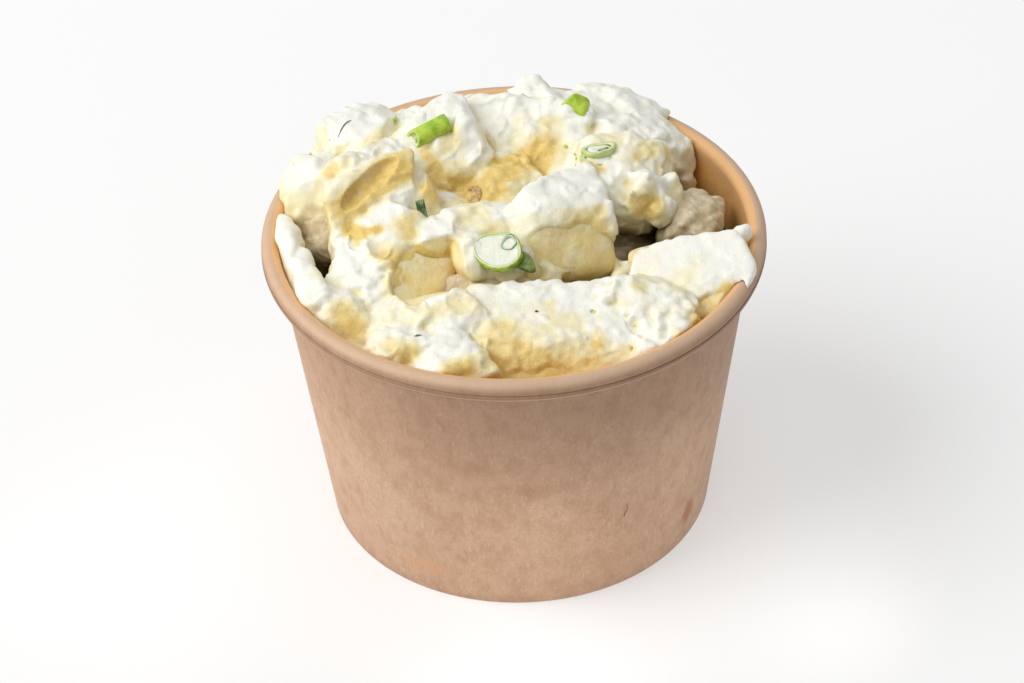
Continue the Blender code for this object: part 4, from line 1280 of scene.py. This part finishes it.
# shreds: a row of places on the salad and the lift over it, or a path of their own
shreds = {
    "wallFibre": dict(finish="fibre", radius=(0.06, 0.06), slot="kraft_board", path=[
        (20.0, -35.28, 23.0), (20.1, -35.2, 21.6), (19.7, -35.2, 20.4), (19.5, -35.06, 19.3)]),
    "darkThread": dict(finish="pepper", radius=(0.10, 0.10), lift=0.10,
                       places=[(-33.9, 21.4), (-33.1, 23.1), (-32.2, 24.5), (-31.0, 25.6)]),
    "curl": dict(finish="curl", radius=(0.9, 0.14), lift=0.45,
                 places=[(-9.6, 4.6), (-7.6, 5.4), (-6.9, 7.6), (-8.8, 9.6)]),
    "greenLine": dict(finish="bright", radius=(0.16, 0.12), lift=0.05,
                      places=[(9.8, 16.4), (11.2, 14.8), (12.6, 13.2), (14.0, 11.8)]),
}
# name of each finish, light, dark, roughness
speckFinish = {
    "pepper": ("pepper", (112, 72, 52), (58, 34, 26), 0.5),
    "fibre": ("darkFibre", (124, 88, 62), (92, 62, 44), 0.6),
    "bright": ("greenCrumbs", (190, 212, 84), (150, 178, 48), 0.35),
    "dark": ("darkGreenCrumbs", (92, 122, 70), (52, 82, 50), 0.4),
    "sauce": ("sauceDots", (248, 246, 238), (238, 230, 204), 0.35),
    "curl": ("curledSkin", (222, 188, 128), (182, 138, 84), 0.4),
}
crumbShape = dict(sharpness=3.0, cuts=3, rows=20, columns=28, rough=((0.5, 0.03),))


def speckMaterial(name, light, dark, roughness):
    made, tree = newMaterial(name, roughness)
    mottle = noiseNode(tree, 1500, 3, 0.6)
    dressed(tree, painted(tree, dark, (mottle, 0.38, 0.62, 0, 1, light)), (mottle, 0.5, 0.0002))
    return made


def lying(tops, x, y, lift):
    # the point of the salad's surface at x, y, raised by the lift
    heights, low, step = tops
    i, j = int(round((x - low[0]) / step)), int(round((y - low[1]) / step))
    return np.array([x, y, heights[i, j] + lift])


def shredTube(corners, radius, around=12, count=30):
    # a smooth path through the corners, each coordinate a cubic in the way along them, and an oval tube
    # along it: p = centre + a cos t side + b sin t rise, drawn out to a point at both ends
    along = np.linspace(0, 1, len(corners))
    path = np.stack([np.polyval(np.polyfit(along, c, 3), np.linspace(0, 1, count)) for c in corners.T], 1)
    way = np.gradient(path, axis=0)
    way /= np.linalg.norm(way, axis=1)[:, None]
    side = np.cross(way, [0, 0, 1.0])
    side /= np.linalg.norm(side, axis=1)[:, None]
    rise = np.cross(side, way)
    taper = (np.sqrt(np.clip(1 - np.linspace(-1, 1, count) ** 4, 0, 1)) * 0.97 + 0.03)[:, None, None]
    t = ringOf(around)[None, :, None]
    points = (path[:, None] + radius[0] * taper * np.cos(t) * side[:, None]
              + radius[1] * taper * np.sin(t) * rise[:, None]).reshape(-1, 3)
    return closedTube(points, around, path[0], path[-1])


def makeSpecks(tops):
    finishes = {name: speckMaterial(*look) for name, look in speckFinish.items()}
    for i, (name, spec) in enumerate(specks.items()):
        bits = []
        for k, (x, y, lift, half, turn) in enumerate(spec["crumbs"]):
            place = (x, y, lift) if spec.get("fixed") else lying(tops, x, y, lift)
            seed = seeds["specks"] + 10 * i + k
            bits.append(chunk(place, half, (0, 0, turn), seed=seed, **crumbShape))
        putInScene(name, *joined(bits), finishes[spec["finish"]], "potato_and_dressing")
    for name, spec in shreds.items():
        corners = spec.get("path") or [lying(tops, x, y, spec["lift"]) for x, y in spec["places"]]
        putInScene(name, *shredTube(np.array(corners), spec["radius"]), finishes[spec["finish"]],
                   spec.get("slot", "potato_and_dressing"))
    print("specks made")


# the floor's half width in metres, its own colour and glow; the colour and strength of the surrounding
# light; lamps: place, aim, width in metres, power in watts, colour, how wide the beam spreads in degrees;
# the camera: place, its right, upward and forward directions, lens and sensor in millimetres
studio = {
    "floorHalf": 4,
    "floor": 0.60,
    "floorGlow": 0.37,
    "surroundColour": (0.97, 0.985, 1.0, 1),
    "surround": 0.38,
    "lamps": {
        "key": ((-1.35, -0.35, 1.35), (0, 0, 0.05), 1.8, 28.0, (1.0, 0.995, 0.985), 180),
        "fill": ((0.2, 0.5, 1.9), (0, 0, 0.05), 1.6, 8.0, (1.0, 0.99, 0.97), 180),
        "lowFront": ((0.0, -0.095, 0.032), (0, -0.038, 0.002), 0.03, 0.0028, (1.0, 0.98, 0.95), 80),
        "lowLeft": ((-0.150, -0.040, 0.060), (-0.036, -0.014, 0.020), 0.05, 0.0050, (1.0, 0.98, 0.95), 60),
        "lowRight": ((0.080, -0.060, 0.032), (0.031, -0.022, 0.002), 0.03, 0.0022, (1.0, 0.98, 0.95), 80),
    },
    "cameraPlace": (0, -0.630487, 0.535026),
    "right": (0.99956292, -0.01739137, -0.02390631),
    "up": (0.02953762, 0.62102667, 0.78323267),
    "ahead": (-0.00122497, 0.78359647, -0.62126893),
    "lens": 144.68,
    "sensor": 36,
}


def makeStudio():
    scene = bpy.context.scene
    floor = bpy.data.meshes.new("studioFloor")
    half = studio["floorHalf"]
    floor.from_pydata([(-half, -half, 0), (half, -half, 0), (half, half, 0), (-half, half, 0)], [],
                      [(0, 1, 2, 3)])
    floorPiece = bpy.data.objects.new("studioFloor", floor)
    scene.collection.objects.link(floorPiece)
    made, tree = newMaterial("studioFloor", 0.9, 0.1)
    shader = tree.nodes["Principled BSDF"]
    shader.inputs["Base Color"].default_value = (*[studio["floor"]] * 3, 1)
    shader.inputs["Emission Color"].default_value = (1, 1, 1, 1)
    shader.inputs["Emission Strength"].default_value = studio["floorGlow"]
    floor.materials.append(made)

    scene.world = bpy.data.worlds.new("studio")
    scene.world.use_nodes = True
    background = scene.world.node_tree.nodes["Background"]
    background.inputs["Color"].default_value = studio["surroundColour"]
    background.inputs["Strength"].default_value = studio["surround"]
    for name, (place, target, size, power, colour, spread) in studio["lamps"].items():
        lamp = bpy.data.lights.new(name, "AREA")
        lamp.shape = "DISK"
        lamp.size = size
        lamp.energy = power
        lamp.color = colour
        lamp.spread = math.radians(spread)
        holder = bpy.data.objects.new(name, lamp)
        holder.visible_camera = False
        scene.collection.objects.link(holder)
        aim = (Vector(target) - Vector(place)).to_track_quat("-Z", "Y")
        holder.matrix_world = Matrix.Translation(place) @ aim.to_matrix().to_4x4()
    scene.view_settings.view_transform = "Standard"
    scene.view_settings.look = "None"
    scene.view_settings.exposure = 0.0

    camera = bpy.data.cameras.new("viewer")
    camera.lens = studio["lens"]
    camera.sensor_width = studio["sensor"]
    camera.clip_start = 0.05
    holder = bpy.data.objects.new("viewer", camera)
    scene.collection.objects.link(holder)
    axes = Matrix((studio["right"], studio["up"], -Vector(studio["ahead"])))
    holder.matrix_world = Matrix.Translation(studio["cameraPlace"]) @ axes.transposed().to_4x4()
    scene.camera = holder


makeTub()
makeCore()
saladTops = makeDressing()
makePotatoes()
makeScallions()
makeSpecks(saladTops)
makeStudio()
